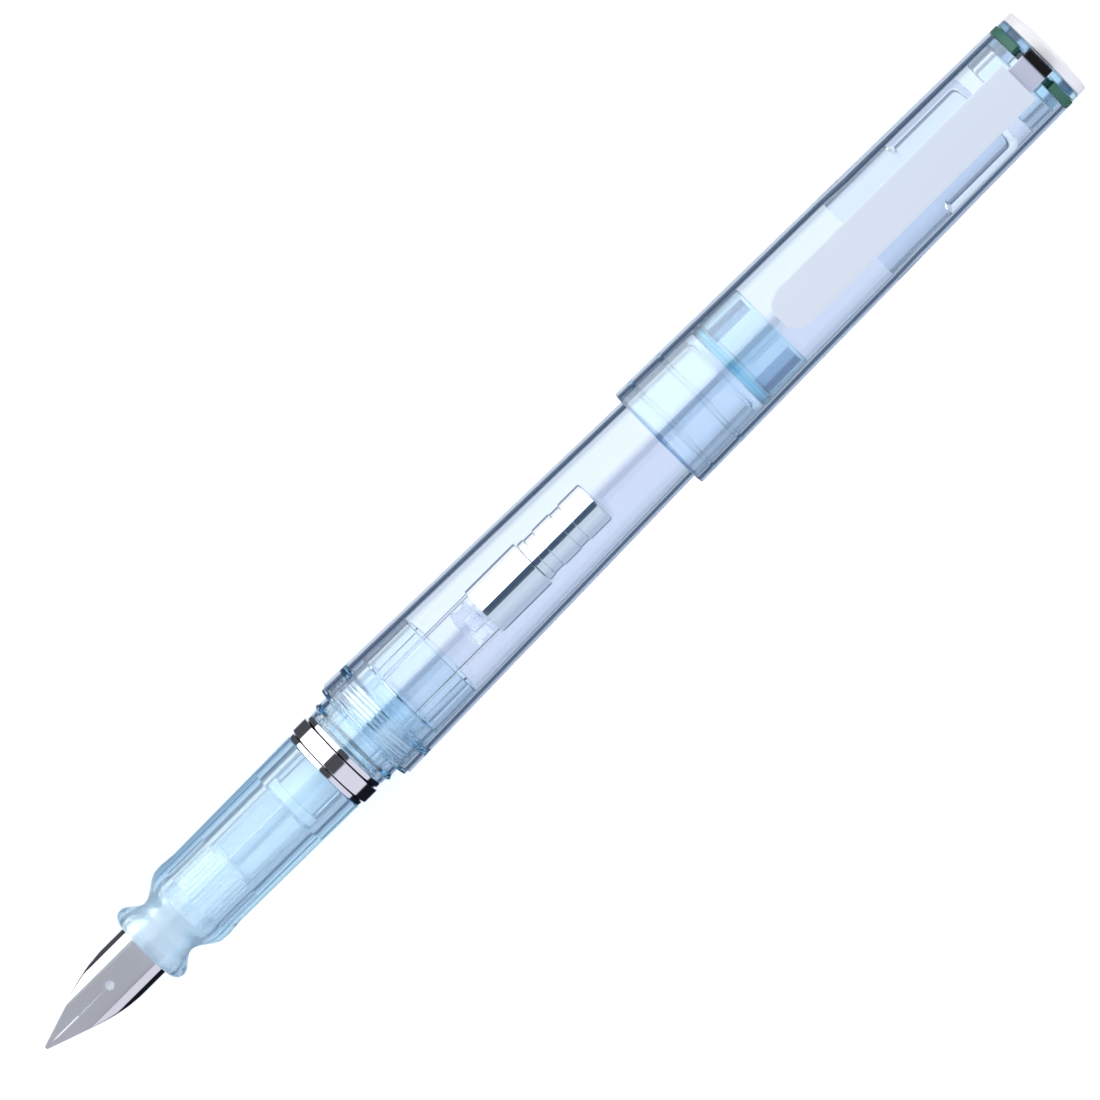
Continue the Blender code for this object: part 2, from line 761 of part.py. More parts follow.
def make_piston_rod():
    stem_end = SEAL_END + HAIRLINE
    profile = [
        (ROD_FRONT, 0.0),
        (ROD_FRONT, ROD_STEM_R),
        (stem_end, ROD_STEM_R),
        (stem_end, ROD_R),
        (ROD_END, ROD_R),
        (ROD_END, ROD_BORE_R),
        (ROD_BORE_FRONT, ROD_BORE_R),
        (ROD_BORE_FRONT, 0.0),
    ]
    return turned("piston_rod", profile, WHITE, SMALL_SIDES)


def make_piston_seal():
    lip = 0.35 * MM
    profile = [
        (SEAL_FRONT, 0.0),
        (SEAL_FRONT, SEAL_NOSE_R),
        (SEAL_FRONT + lip, SEAL_LIP_R),
        (SEAL_FRONT + 2 * lip, SEAL_LIP_R),
        (SEAL_FRONT + 3 * lip, SEAL_WAIST_R),
        (SEAL_END - 2 * lip, SEAL_WAIST_R),
        (SEAL_END - lip, SEAL_LIP_R),
        (SEAL_END, SEAL_LIP_R),
        (SEAL_END, ROD_STEM_R + HAIRLINE),
        (ROD_FRONT - HAIRLINE, ROD_STEM_R + HAIRLINE),
        (ROD_FRONT - HAIRLINE, 0.0),
    ]
    return turned("piston_seal", profile, SEAL, SMALL_SIDES)


make_piston_rod()
make_piston_seal()


# ---------------------------------------------------------------- cap tube
# Clear plastic, open at both ends, its bore narrower from where the inner cap seats.

INNER_CAP_MOUTH = 128.9 * MM
CAP_EDGE = 0.12 * MM
CAP_BORE = (
    (CAP_MOUTH, 6.25 * MM),
    (115.6 * MM, 5.86 * MM),
    (INNER_CAP_MOUTH, 5.72 * MM),
    (132.9 * MM, 5.47 * MM),
    (CAP_TUBE_END, 5.34 * MM),
)


def cap_r(station):
    """Outside radius of the cap: a straight taper up to its head."""
    return CAP_MOUTH_R + (CAP_HEAD_R - CAP_MOUTH_R) * share_between(
        station, CAP_MOUTH, CAP_TUBE_END
    )


def cap_bore_r(station):
    """Radius of the cap's bore, straight between its marks."""
    for (start, start_r), (end, end_r) in zip(CAP_BORE, CAP_BORE[1:]):
        if station <= end:
            break
    return start_r + (end_r - start_r) * share_between(station, start, end)


def make_cap_tube():
    outside = [
        (CAP_MOUTH, CAP_MOUTH_R - CAP_EDGE),
        (CAP_MOUTH + CAP_EDGE, CAP_MOUTH_R),
        (CAP_TUBE_END, CAP_HEAD_R),
    ]
    return turned("cap_tube", outside + list(CAP_BORE[::-1]), CLEAR)


make_cap_tube()


# ---------------------------------------------------------------- cap insert
# A thin clear-blue sleeve in the cap's mouth: a snap bead, two bonding ribs, a stop for the posted barrel.

CAP_INSERT_FRONT = CAP_MOUTH + HAIRLINE
CAP_INSERT_END = 115.3 * MM
BEAD_CENTRE = 98.7 * MM
BEAD_HALF = 0.55 * MM
BEAD_RISE = 0.05 * MM
POST_CLEARANCE = 0.11 * MM
STOP_FRONT = BARREL_END + HAIRLINE
STOP_R = 5.58 * MM
REAR_SLEEVE_R = 5.6 * MM
BOND_RIBS = (99.5 * MM, 103.9 * MM)
BOND_RIB_HALF = 0.25 * MM
BOND_RIB_RISE = 0.05 * MM


def make_cap_insert():
    def outer(station, rise=0.0):
        return cap_bore_r(station) - HAIRLINE - BOND_RIB_RISE + rise

    def bore(station):
        return barrel_r(station) + POST_CLEARANCE

    outside = [(CAP_INSERT_FRONT, outer(CAP_INSERT_FRONT))]
    for middle in BOND_RIBS:
        start, end = middle - BOND_RIB_HALF, middle + BOND_RIB_HALF
        outside += [
            (start - HAIRLINE, outer(start)),
            (start, outer(start, BOND_RIB_RISE)),
            (end, outer(end, BOND_RIB_RISE)),
            (end + HAIRLINE, outer(end)),
        ]
    outside += [(CAP_INSERT_END, outer(CAP_INSERT_END))]
    inside = [
        (CAP_INSERT_END, REAR_SLEEVE_R),
        (STOP_FRONT + 1.2 * MM, STOP_R),
        (STOP_FRONT, STOP_R),
        (STOP_FRONT, bore(STOP_FRONT)),
        (BEAD_CENTRE + BEAD_HALF, bore(BEAD_CENTRE + BEAD_HALF)),
        (BEAD_CENTRE, bore(BEAD_CENTRE) - BEAD_RISE),
        (BEAD_CENTRE - BEAD_HALF, bore(BEAD_CENTRE - BEAD_HALF)),
        (CAP_INSERT_FRONT, bore(CAP_INSERT_FRONT)),
    ]
    return turned("cap_insert", outside + inside, BLUE)


make_cap_insert()


# ---------------------------------------------------------------- inner cap
# A clear cup that closes round the grip's lip when the pen is capped, so that the nib stays wet.

INNER_CAP_STEP = 139.0 * MM
INNER_CAP_END = 149.4 * MM
INNER_CAP_MOUTH_R = 5.2 * MM
INNER_CAP_BORE_R = 4.3 * MM
INNER_CAP_END_WALL = 0.7 * MM
INNER_CAP_ROUND = 0.8 * MM


def make_inner_cap():
    def outer(station):
        return cap_bore_r(station) - HAIRLINE

    front = INNER_CAP_MOUTH + HAIRLINE
    bottom = INNER_CAP_END - INNER_CAP_END_WALL
    outside = [(front, outer(front)), (CAP_BORE[3][0], outer(CAP_BORE[3][0]))]
    outside += [(INNER_CAP_END - INNER_CAP_ROUND, outer(INNER_CAP_END))]
    outside += [(INNER_CAP_END, outer(INNER_CAP_END) - INNER_CAP_ROUND), (INNER_CAP_END, 0.0)]
    inside = [
        (bottom, 0.0),
        (bottom, INNER_CAP_BORE_R - INNER_CAP_ROUND),
        (bottom - INNER_CAP_ROUND, INNER_CAP_BORE_R),
        (INNER_CAP_STEP, INNER_CAP_BORE_R),
        (INNER_CAP_STEP - INNER_CAP_ROUND, INNER_CAP_MOUTH_R),
        (front, INNER_CAP_MOUTH_R),
    ]
    return turned("inner_cap", inside + outside, CLEAR)


make_inner_cap()


# ---------------------------------------------------------------- cap head
# A plug closes the tube over a coloured gasket, and the white finial's stud holds the stack together.

PLUG_FRONT = 151.2 * MM
PLUG_R = 5.25 * MM
PLUG_FLANGE_FRONT = 156.85 * MM
PLUG_FLANGE_R = 6.02 * MM
PLUG_HOLE_R = 1.6 * MM
PLUG_HOLLOW_R = 4.2 * MM
PLUG_WEB = 154.6 * MM
GASKET_FRONT = CAP_TUBE_END + HAIRLINE
GASKET_END = PLUG_FLANGE_FRONT - HAIRLINE
GASKET_R = 6.12 * MM
GASKET_BORE_R = 5.33 * MM
GASKET_GAP_HALF = 2.9 * MM
TONGUE_SLOT_HALF = 2.05 * MM
TONGUE_SLOT_LOW = 1.85 * MM
TONGUE_SLOT_FRONT = 156.6 * MM
FINIAL_FRONT = PLUG_END + HAIRLINE
FINIAL_R = 6.02 * MM
FINIAL_EDGE = 0.3 * MM
FINIAL_FLAT_R = 3.0 * MM
FINIAL_RIM = 159.0 * MM
STUD_R = 1.42 * MM
STUD_END = 151.6 * MM


def make_cap_plug():
    profile = [
        (PLUG_FRONT, PLUG_HOLLOW_R),
        (PLUG_FRONT, PLUG_R),
        (PLUG_FLANGE_FRONT, PLUG_R),
        (PLUG_FLANGE_FRONT, PLUG_FLANGE_R),
        (PLUG_END, PLUG_FLANGE_R),
        (PLUG_END, PLUG_HOLE_R),
        (PLUG_WEB, PLUG_HOLE_R),
        (PLUG_WEB, PLUG_HOLLOW_R),
    ]
    plug = turned("cap_plug", profile, BLUE)
    low = (along(TONGUE_SLOT_FRONT), -TONGUE_SLOT_HALF, TONGUE_SLOT_LOW)
    high = (along(PLUG_END + 1 * MM), TONGUE_SLOT_HALF, CAP_MOUTH_R)
    cut(plug, block("tongue_slot_cutter", low, high))
    return plug


def make_cap_gasket():
    profile = [
        (GASKET_FRONT, GASKET_BORE_R),
        (GASKET_FRONT, GASKET_R),
        (GASKET_END, GASKET_R),
        (GASKET_END, GASKET_BORE_R),
    ]
    gasket = turned("cap_gasket", profile, GREEN)
    low = (along(GASKET_FRONT - 1 * MM), -GASKET_GAP_HALF, 0.0)
    high = (along(GASKET_END + 1 * MM), GASKET_GAP_HALF, CAP_MOUTH_R)
    cut(gasket, block("gasket_gap_cutter", low, high))
    return gasket


def make_finial():
    profile = [
        (STUD_END, 0.0),
        (STUD_END, STUD_R),
        (FINIAL_FRONT, STUD_R),
        (FINIAL_FRONT, FINIAL_R),
        (FINIAL_RIM - FINIAL_EDGE, FINIAL_R),
        (FINIAL_RIM, FINIAL_R - FINIAL_EDGE),
        (PEN_LENGTH, FINIAL_FLAT_R),
        (PEN_LENGTH, 0.0),
    ]
    return turned("finial", profile, WHITE)


make_cap_plug()
make_cap_gasket()
make_finial()


# ---------------------------------------------------------------- clip
# Sprung satin metal: a broad arm with a round end and a contact pad, a narrow neck, a tongue in the head.
# Its arm lifts about its root, so its own origin is there.

CLIP_TIP = 116.4 * MM
CLIP_ROUND_END = 119.1 * MM
CLIP_ARM_END = 154.0 * MM
CLIP_BEND = 157.0 * MM
CLIP_SHEET = 0.5 * MM
TONGUE_SHEET = 0.38 * MM
CLIP_HALF = 2.7 * MM
CLIP_TIP_HALF = 0.75 * MM
NECK_HALF = 1.8 * MM
ARM_UNDER = 7.55 * MM
ARM_UNDER_TIP = 7.35 * MM
NECK_UNDER = 6.95 * MM
PAD_START = 117.6 * MM
PAD_END = 120.4 * MM
PAD_DEPTH = 0.5 * MM
TONGUE_FRONT = 157.24 * MM
TONGUE_LOW = 2.2 * MM
CLIP_PIVOT_HEIGHT = 6.2 * MM


def clip_section(point, down, half, sheet):
    """A bar's cross-section at a point of its upper face; down is where its lower face lies."""
    x, z = point
    dx, dz = down[0] * sheet, down[1] * sheet
    return [
        Vector((x, -half, z)),
        Vector((x, half, z)),
        Vector((x + dx, half, z + dz)),
        Vector((x + dx, -half, z + dz)),
    ]


def arm_top(station):
    u = share_between(station, CLIP_TIP, CLIP_ARM_END)
    return ARM_UNDER_TIP + (ARM_UNDER - ARM_UNDER_TIP) * u + CLIP_SHEET


def make_clip():
    level = (0.0, -1.0)
    sections = []
    round_steps = 5
    for i in range(round_steps + 1):
        u = i / round_steps
        station = CLIP_TIP + (CLIP_ROUND_END - CLIP_TIP) * u
        half = CLIP_TIP_HALF + (CLIP_HALF - CLIP_TIP_HALF) * math.sqrt(1 - (1 - u) ** 2)
        sheet = CLIP_SHEET + (PAD_DEPTH if station > PAD_START else 0.0)
        sections.append(clip_section((along(station), arm_top(station)), level, half, sheet))
    pad = clip_section((along(PAD_END), arm_top(PAD_END)), level, CLIP_HALF, CLIP_SHEET + PAD_DEPTH)
    sections.append(pad)
    after_pad = PAD_END + PAD_DEPTH
    sections.append(clip_section((along(after_pad), arm_top(after_pad)), level, CLIP_HALF, CLIP_SHEET))
    sections.append(
        clip_section((along(CLIP_ARM_END), arm_top(CLIP_ARM_END)), level, CLIP_HALF, CLIP_SHEET)
    )
    neck_top = NECK_UNDER + CLIP_SHEET
    neck_start = CLIP_ARM_END + HAIRLINE
    sections.append(clip_section((along(neck_start), neck_top), level, NECK_HALF, CLIP_SHEET))
    sections.append(clip_section((along(CLIP_BEND), neck_top), level, NECK_HALF, CLIP_SHEET))
    outer_face = TONGUE_FRONT + TONGUE_SHEET
    corner = (along(outer_face), neck_top - (outer_face - CLIP_BEND))
    inward = (-1.0, 0.0)
    sections.append(clip_section(corner, inward, NECK_HALF, TONGUE_SHEET))
    low_end = (along(outer_face), TONGUE_LOW)
    sections.append(clip_section(low_end, inward, NECK_HALF, TONGUE_SHEET))
    pivot = (along(TONGUE_FRONT + TONGUE_SHEET / 2), 0.0, CLIP_PIVOT_HEIGHT)
    return lofted("clip", sections, SATIN, pivot)


make_clip()
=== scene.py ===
"""A clear fountain pen with its cap posted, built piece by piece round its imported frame.

Stations are millimetres along the pen from the nib's point, and radii are millimetres from its axis.
"""

import math

import bmesh
import bpy
import numpy as np
from mathutils import Matrix, Vector


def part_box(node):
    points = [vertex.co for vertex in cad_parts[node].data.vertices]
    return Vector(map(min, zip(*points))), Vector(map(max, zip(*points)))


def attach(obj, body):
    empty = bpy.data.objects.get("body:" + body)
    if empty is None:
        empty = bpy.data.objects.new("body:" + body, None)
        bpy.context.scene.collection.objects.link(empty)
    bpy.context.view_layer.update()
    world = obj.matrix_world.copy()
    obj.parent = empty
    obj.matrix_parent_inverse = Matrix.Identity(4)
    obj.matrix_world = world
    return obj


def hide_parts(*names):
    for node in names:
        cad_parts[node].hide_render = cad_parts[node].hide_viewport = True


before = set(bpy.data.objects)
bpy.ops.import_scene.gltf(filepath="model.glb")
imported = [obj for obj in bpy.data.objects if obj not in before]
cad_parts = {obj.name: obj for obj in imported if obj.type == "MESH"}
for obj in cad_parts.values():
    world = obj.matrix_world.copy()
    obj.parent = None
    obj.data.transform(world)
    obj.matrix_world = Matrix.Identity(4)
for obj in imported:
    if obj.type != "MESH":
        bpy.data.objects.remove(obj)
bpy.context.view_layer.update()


# ---------------- nib
# Stainless sheet, blanked, folded down along both sides and slit from its point to the vent hole.
# Its top is satin, its folds are polished, and a hard pellet is welded under the point to write with.

MM = 0.001
NIB_START_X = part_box("nib")[0].x
CAP_LOW, CAP_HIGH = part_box("cap_tube")
AXIS_Z = (CAP_LOW.z + CAP_HIGH.z) / 2
FRAME_SIDES = 32
SHARP = math.radians(38)
INSIDE_FLATS = math.cos(math.pi / FRAME_SIDES)


def ends(node):
    """The two stations between which a node of the frame lies."""
    low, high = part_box(node)
    return (low.x - NIB_START_X) / MM, (high.x - NIB_START_X) / MM


def smooth_step(value, low, high):
    """0 at low and 1 at high, with a level start and finish: 3u^2 - 2u^3 of the share u between them."""
    share = np.clip((value - low) / (high - low), 0.0, 1.0)
    return share * share * (3.0 - 2.0 * share)


def plateau(value, rise, fall):
    """1 from the end of rise to the start of fall, two pairs (low, high), and 0 outside them."""
    return smooth_step(value, *rise) * (1 - smooth_step(value, *fall))


def skin(name, grids, loop_rows=False, loop_columns=True):
    """A piece from grids (rows, columns, xyz in millimetres about the pen's axis), its faces turned outwards.

    Four neighbouring points make a face, and points that coincide are merged.
    """
    points, quads, count = [], [], 0
    for grid in grids:
        rows, columns = grid.shape[:2]
        here = np.arange(rows * columns).reshape(rows, columns) + count
        below, beside = np.roll(here, -1, 0), np.roll(here, -1, 1)
        faces = np.stack([here, below, np.roll(below, -1, 1), beside], -1)
        faces = faces if loop_rows else faces[:-1]
        faces = faces if loop_columns else faces[:, :-1]
        points.append(grid.reshape(-1, 3))
        quads.append(faces.reshape(-1, 4))
        count += rows * columns
    points = np.concatenate(points) * MM + (NIB_START_X, 0.0, AXIS_Z)
    quads = np.concatenate(quads)
    mesh = bpy.data.meshes.new(name)
    mesh.vertices.add(len(points))
    mesh.vertices.foreach_set("co", points.astype(np.float32).ravel())
    mesh.loops.add(quads.size)
    mesh.loops.foreach_set("vertex_index", quads.astype(np.int32).ravel())
    mesh.polygons.add(len(quads))
    mesh.polygons.foreach_set("loop_start", np.arange(0, quads.size, 4, dtype=np.int32))
    mesh.update(calc_edges=True)
    shape = bmesh.new()
    shape.from_mesh(mesh)
    bmesh.ops.remove_doubles(shape, verts=shape.verts, dist=1e-7)
    bmesh.ops.dissolve_degenerate(shape, edges=shape.edges, dist=1e-8)
    bmesh.ops.recalc_face_normals(shape, faces=shape.faces)
    shape.to_mesh(mesh)
    shape.free()
    mesh.shade_smooth()
    mesh.set_sharp_from_angle(angle=SHARP)
    piece = bpy.data.objects.new(name, mesh)
    bpy.context.scene.collection.objects.link(piece)
    return piece


class Value:
    """An output socket that arithmetic is written with: each operator adds its Math node."""

    def __init__(self, recipe, socket):
        self.recipe, self.socket = recipe, socket

    def math(self, operation, *others):
        sockets = dict(enumerate((self, *others)))
        return self.recipe.node("ShaderNodeMath", {"operation": operation}, sockets)

    def __add__(self, other):
        return self.math("ADD", other)

    def __sub__(self, other):
        return self.math("SUBTRACT", other)

    def __mul__(self, other):
        return self.math("MULTIPLY", other)

    def __truediv__(self, other):
        return self.math("DIVIDE", other)

    def __rsub__(self, other):
        return (self * -1.0) + other

    __radd__ = __add__
    __rmul__ = __mul__

    def between(self, low, high):
        """0 below low, 1 above high and level at both, as smooth_step."""
        settings = {"interpolation_type": "SMOOTHSTEP"}
        sockets = {"Value": self, "From Min": low, "From Max": high}
        return self.recipe.node("ShaderNodeMapRange", settings, sockets)

    def within(self, rise, fall):
        """As plateau."""
        return self.between(*rise) * (1.0 - self.between(*fall))


class Recipe:
    """One material, or the studio's surroundings: its node tree, and the method that adds a node to it."""

    def __init__(self, name, world=None):
        self.owner = world or bpy.data.materials.new(name)
        self.owner.use_nodes = True
        self.tree = self.owner.node_tree
        self.tree.nodes.clear()

    def node(self, kind, settings=None, sockets=None, output=0):
        made = self.tree.nodes.new(kind)
        for key, value in (settings or {}).items():
            if key == "stops":
                self.set_stops(made.color_ramp, value)
            else:
                setattr(made, key, value)
        for key, value in (sockets or {}).items():
            socket = made.inputs[key]
            if isinstance(value, Value):
                self.tree.links.new(value.socket, socket)
            else:
                socket.default_value = (*value, 1.0) if socket.type == "RGBA" else value
        return Value(self, made.outputs[output]) if made.outputs else made

    @staticmethod
    def set_stops(ramp, stops):
        while len(ramp.elements) < len(stops):
            ramp.elements.new(1.0)
        for element, (position, colour) in zip(ramp.elements, stops):
            element.position, element.color = position, (*colour, 1.0)

    def place(self, axis=None):
        """The point's own place on its piece, or one of its three numbers, in metres."""
        point = self.node("ShaderNodeTexCoord", output="Object")
        if axis is None:
            return point
        return self.node("ShaderNodeSeparateXYZ", sockets={0: point}, output=axis)

    def station(self):
        return (self.place("X") - NIB_START_X) / MM

    def turn(self):
        """The angle about the pen's axis: 0 on top."""
        return self.place("Y").math("ARCTAN2", self.place("Z") - AXIS_Z)

    def noise(self, scale, detail=2.0, finer=None, roughness=0.5):
        """Even noise around 0.5, with this many waves to the metre, times finer's share along each axis."""
        where = self.place()
        if finer:
            where = self.node("ShaderNodeVectorMath", {"operation": "MULTIPLY"}, {0: where, 1: finer})
        sockets = {"Vector": where, "Scale": scale, "Detail": detail, "Roughness": roughness}
        return self.node("ShaderNodeTexNoise", sockets=sockets)

    def blend(self, share, first, second):
        """The first colour at 0 and the second at 1."""
        sockets = {0: share, 6: first, 7: second}
        return self.node("ShaderNodeMix", {"data_type": "RGBA"}, sockets, output=2)

    def mix(self, share, first, second):
        """The first shader at 0 and the second at 1."""
        return self.node("ShaderNodeMixShader", sockets={0: share, 1: first, 2: second})

    def bump(self, height, strength, distance):
        sockets = {"Height": height, "Strength": strength, "Distance": distance}
        return self.node("ShaderNodeBump", sockets=sockets)

    def principled(self, **sockets):
        """A Principled shader: base_color is its Base Color, and so on."""
        named = {key.replace("_", " ").title().replace("Ior", "IOR"): value for key, value in sockets.items()}
        return self.node("ShaderNodeBsdfPrincipled", sockets=named)

    def clear(self, colour, roughness, ior=1.5):
        return self.principled(base_color=colour, roughness=roughness, ior=ior, transmission_weight=1.0)

    def finish(self, shader, **volume):
        self.node("ShaderNodeOutputMaterial", sockets={"Surface": shader, **volume})
        return self.owner


def fit(piece, material, body, slot, *nodes):
    """Gives a piece its material, its body and the frame's nodes that it stands for. Its slot is not used."""
    piece.data.materials.append(material)
    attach(piece, body)
    if nodes:
        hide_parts(*nodes)


NIB_SHEET = 0.25
NIB_TOP = 2.3
NIB_FLAT, NIB_FLAT_TAIL = 1.74, 1.5
NIB_FOLD_R, NIB_FOLD_R_TAIL = 1.71, 1.4
NIB_BEND_START, NIB_BEND_DROP = 9.0, 1.1
NIB_NARROWS, NIB_NARROWED = 16.6, 18.4
NIB_FLAT_ENDS, NIB_FULL_WIDTH = 4.6, 12.6
NIB_POINT_WIDTH = 0.2
VENT_STATION, VENT_R = 10.2, 0.55
SLIT_HALF, SLIT_CLOSED_HALF = 0.065, 0.008
SLIT_OPENS, SLIT_CLOSES = (1.1, 1.9), (7.3, 7.7)
FOLD_DEEPER = 1.35
PELLET_R = 0.27


def nib_top(x):
    """Height of the sheet's flat: level, then dropping with the square of the distance to the point."""
    return NIB_TOP - NIB_BEND_DROP * np.clip((NIB_BEND_START - x) / NIB_BEND_START, 0, 1) ** 2


def nib_grid(side, stations, columns=20):
    """One half of the sheet's upper face.

    Each row runs across the sheet by its own length: level out to the flat's edge, then round a deep arc. It
    starts at the slit or the vent's edge, sqrt(R^2 - d^2) from the middle, and ends at the blank's edge,
    which is a straight taper, then a quarter sine out to full width, then a smooth step in to the tail.
    """
    x = stations[:, None]
    narrow = smooth_step(x, NIB_NARROWS, NIB_NARROWED)
    flat = NIB_FLAT + (NIB_FLAT_TAIL - NIB_FLAT) * narrow
    fold = NIB_FOLD_R + (NIB_FOLD_R_TAIL - NIB_FOLD_R) * narrow
    taper = NIB_POINT_WIDTH + (NIB_FLAT - NIB_POINT_WIDTH) * np.clip(x / NIB_FLAT_ENDS, 0, 1)
    swell = np.clip((x - NIB_FLAT_ENDS) / (NIB_FULL_WIDTH - NIB_FLAT_ENDS), 0, 1)
    lean = np.arcsin(np.sin(math.pi / 2 * swell)) * (x > NIB_FLAT_ENDS)
    outer = np.where(x < NIB_FLAT_ENDS, taper, flat + fold * lean)
    vent = np.sqrt(np.clip(VENT_R**2 - (x - VENT_STATION) ** 2, 0, None))
    slit = SLIT_CLOSED_HALF + (SLIT_HALF - SLIT_CLOSED_HALF) * plateau(x, SLIT_OPENS, SLIT_CLOSES)
    inner = np.where(x < VENT_STATION, np.maximum(vent, slit), vent)
    share = np.concatenate([[0.0, 0.01], np.linspace(0.06, 1, columns - 2)])
    across = inner + (outer - inner) * share[None, :]
    angle = np.clip((across - flat) / fold, 0, math.pi / 2)
    y = np.minimum(across, flat) + fold * np.sin(angle)
    z = nib_top(x) - FOLD_DEEPER * fold * (1 - np.cos(angle))
    return np.stack([x + 0 * y, side * y, z], -1)


def nib_steel():
    """Steel: satin along the flat, bright over the folds, with fine lines along the pen."""
    steel = Recipe("nib_steel")
    across = steel.place("Y").math("ABSOLUTE")
    folded = across.between((NIB_FLAT + 0.14) * MM, (NIB_FLAT + 0.26) * MM)
    lines = steel.noise(900.0, 4.0, (1.0, 14.0, 14.0))
    colour = steel.blend(folded, (0.59, 0.60, 0.645), (0.88, 0.87, 0.88))
    roughness = (1.0 - folded) * (0.40 + lines * 0.14) + folded * 0.08
    normal = steel.bump(lines * (1.0 - folded), 0.25, 0.00002)
    shader = steel.principled(base_color=colour, metallic=1.0, roughness=roughness, normal=normal)
    return steel.finish(shader)


def make_nib():
    stations = np.concatenate([
        np.linspace(0.0, VENT_STATION - VENT_R, 34, endpoint=False),
        VENT_STATION - VENT_R * np.cos(np.linspace(0, math.pi, 17)),
        np.linspace(VENT_STATION + VENT_R + 0.2, ends("nib")[1], 34),
    ])
    nib = skin("nib_sheet", [nib_grid(side, stations) for side in (1, -1)], loop_columns=False)
    if nib.data.polygons[len(nib.data.polygons) // 4].normal.z < 0:
        nib.data.flip_normals()
    wall = nib.modifiers.new("sheet", "SOLIDIFY")
    wall.thickness, wall.offset = NIB_SHEET * MM, -1.0
    wall.use_even_offset = True
    fit(nib, nib_steel(), "grip", "nib_steel", "nib")


def make_pellet():
    """An ellipsoid: longer than wide, its angles round and from pole to pole."""
    round_it, down = np.meshgrid(np.linspace(0, 2 * math.pi, 33)[:-1], np.linspace(0, math.pi, 17))
    x = PELLET_R * 1.5 * (1 - np.cos(down))
    y = PELLET_R * 0.9 * np.sin(down) * np.cos(round_it)
    z = nib_top(0.0) - NIB_SHEET + PELLET_R * 0.8 * np.sin(down) * np.sin(round_it)
    pellet = skin("nib_pellet", [np.stack([x, y, z], -1)])
    metal = Recipe("pellet_metal")
    grain = metal.noise(20000.0)
    metal.finish(metal.principled(base_color=(0.5, 0.5, 0.52), metallic=1.0, roughness=0.25 + grain * 0.1))
    fit(pellet, metal.owner, "grip", "nib_steel")


make_nib()
make_pellet()


# ---------------- feed
# Moulded plastic that lies against the nib and brings it ink: a round-bellied tongue outside, with an ink
# channel along its top, and comb fins inside the grip that hold what overflows.

FEED_TIP, FEED_OUT = 5.2, 15.4
FEED_R, FEED_CORE_R = 2.46, 1.75
FEED_TIP_WIDTH, FEED_TIP_DEPTH = 0.45, 0.5
FEED_GAP = 0.1
FIN_STARTS, FIN_THICK, FIN_SLOPE = 17.4 + 1.2 * np.arange(9), 0.55, 0.06
CHANNEL_WIDTH, CHANNEL_DEPTH, CHANNEL_STARTS = 0.3, 0.35, (11.5, 12.5)


def capped(grid, both_ends=True):
    """The grid with its end rows drawn in to their middles, or only the first, to close the piece there."""
    lids = [row.mean(1, keepdims=True) + 0 * row for row in (grid[:1], grid[-1:])]
    return np.concatenate([lids[0], grid, *(lids[1:] if both_ends else [])])


def feed_grid():
    """Rows along the pen, each a closed line: over the top with a dip for the channel, back round the belly.

    Width and depth grow as a quarter sine to the grip; inside it the depth alternates between core and fin.
    """
    steps = FIN_STARTS[:, None] + (-FIN_SLOPE, FIN_SLOPE, FIN_THICK, FIN_THICK + 2 * FIN_SLOPE)
    tail = ends("feed")[1]
    x = np.concatenate([np.linspace(FEED_TIP, FEED_OUT, 28), steps.ravel(), [tail - 0.2, tail]])[:, None]
    grown = np.sin(math.pi / 2 * np.clip((x - FEED_TIP) / (FEED_OUT - FEED_TIP), 0, 1))
    rise, fall = np.split(steps.T[:, None], 2)
    in_fin = plateau(x, rise, fall).sum(1, keepdims=True)
    width = FEED_TIP_WIDTH + (FEED_CORE_R - FEED_TIP_WIDTH) * grown
    outside = FEED_TIP_DEPTH + (FEED_R - FEED_TIP_DEPTH) * grown
    depth = np.where(x > FEED_OUT, FEED_CORE_R + (FEED_R - FEED_CORE_R) * in_fin, outside)
    top = nib_top(x) - NIB_SHEET - FEED_GAP
    over = np.linspace(-1, 1, 22)[None, :]
    crossing = width * over
    dip = CHANNEL_DEPTH * smooth_step(x, *CHANNEL_STARTS) * np.exp(-((crossing / CHANNEL_WIDTH) ** 4))
    below = np.linspace(0, math.pi, 26)[None, 1:-1]
    y = np.concatenate([crossing, width * np.cos(below)], 1)
    z = np.concatenate([top - dip, -depth * np.sin(below)], 1)
    return capped(np.stack([x + 0 * y, y, z], -1))


def hazy_plastic(name, colour, roughness, haze, ridges=0.0):
    """Plastic that light goes through softly: part clear and part white, with a faint grain.

    Along the splines their ridges, where cos of their count times the angle is high, are whiter: painted
    highlights.
    """
    plastic = Recipe(name)
    grain = plastic.noise(2600.0, 3.0)
    cloud = plastic.noise(260.0, 2.0)
    shade = plastic.blend(cloud, colour, tuple(0.93 * c for c in colour))
    see_through = plastic.clear(shade, (grain - 0.5) * 0.06 + roughness)
    white = plastic.principled(base_color=shade, roughness=0.35, ior=1.5)
    if ridges:
        # Painted highlight: the spline ridges get more white, standing for the light that they catch.
        ridge = (plastic.turn() * float(SPLINE_COUNT)).math("COSINE").between(0.55, 0.8)
        first, last = SPLINES
        splined = plastic.station().within((first - 0.05, first + 0.05), (last - 0.05, last))
        haze = ridge * splined * ridges + haze
    return finish_clear(plastic, plastic.mix(haze, see_through, white), colour)


def finish_clear(plastic, shader, colour, **volume):
    """Finishes a clear material. Lamps shine through the piece instead of being shut out by it."""
    lamps = plastic.node("ShaderNodeLightPath", output="Is Shadow Ray")
    straight = plastic.node("ShaderNodeBsdfTransparent", sockets={"Color": colour})
    return plastic.finish(plastic.mix(lamps, shader, straight), **volume)


feed = skin("feed_tongue", [feed_grid()])
fit(feed, hazy_plastic("feed_plastic", (0.98, 0.985, 1.0), 0.22, 0.3), "grip", "milky_plastic", "feed")


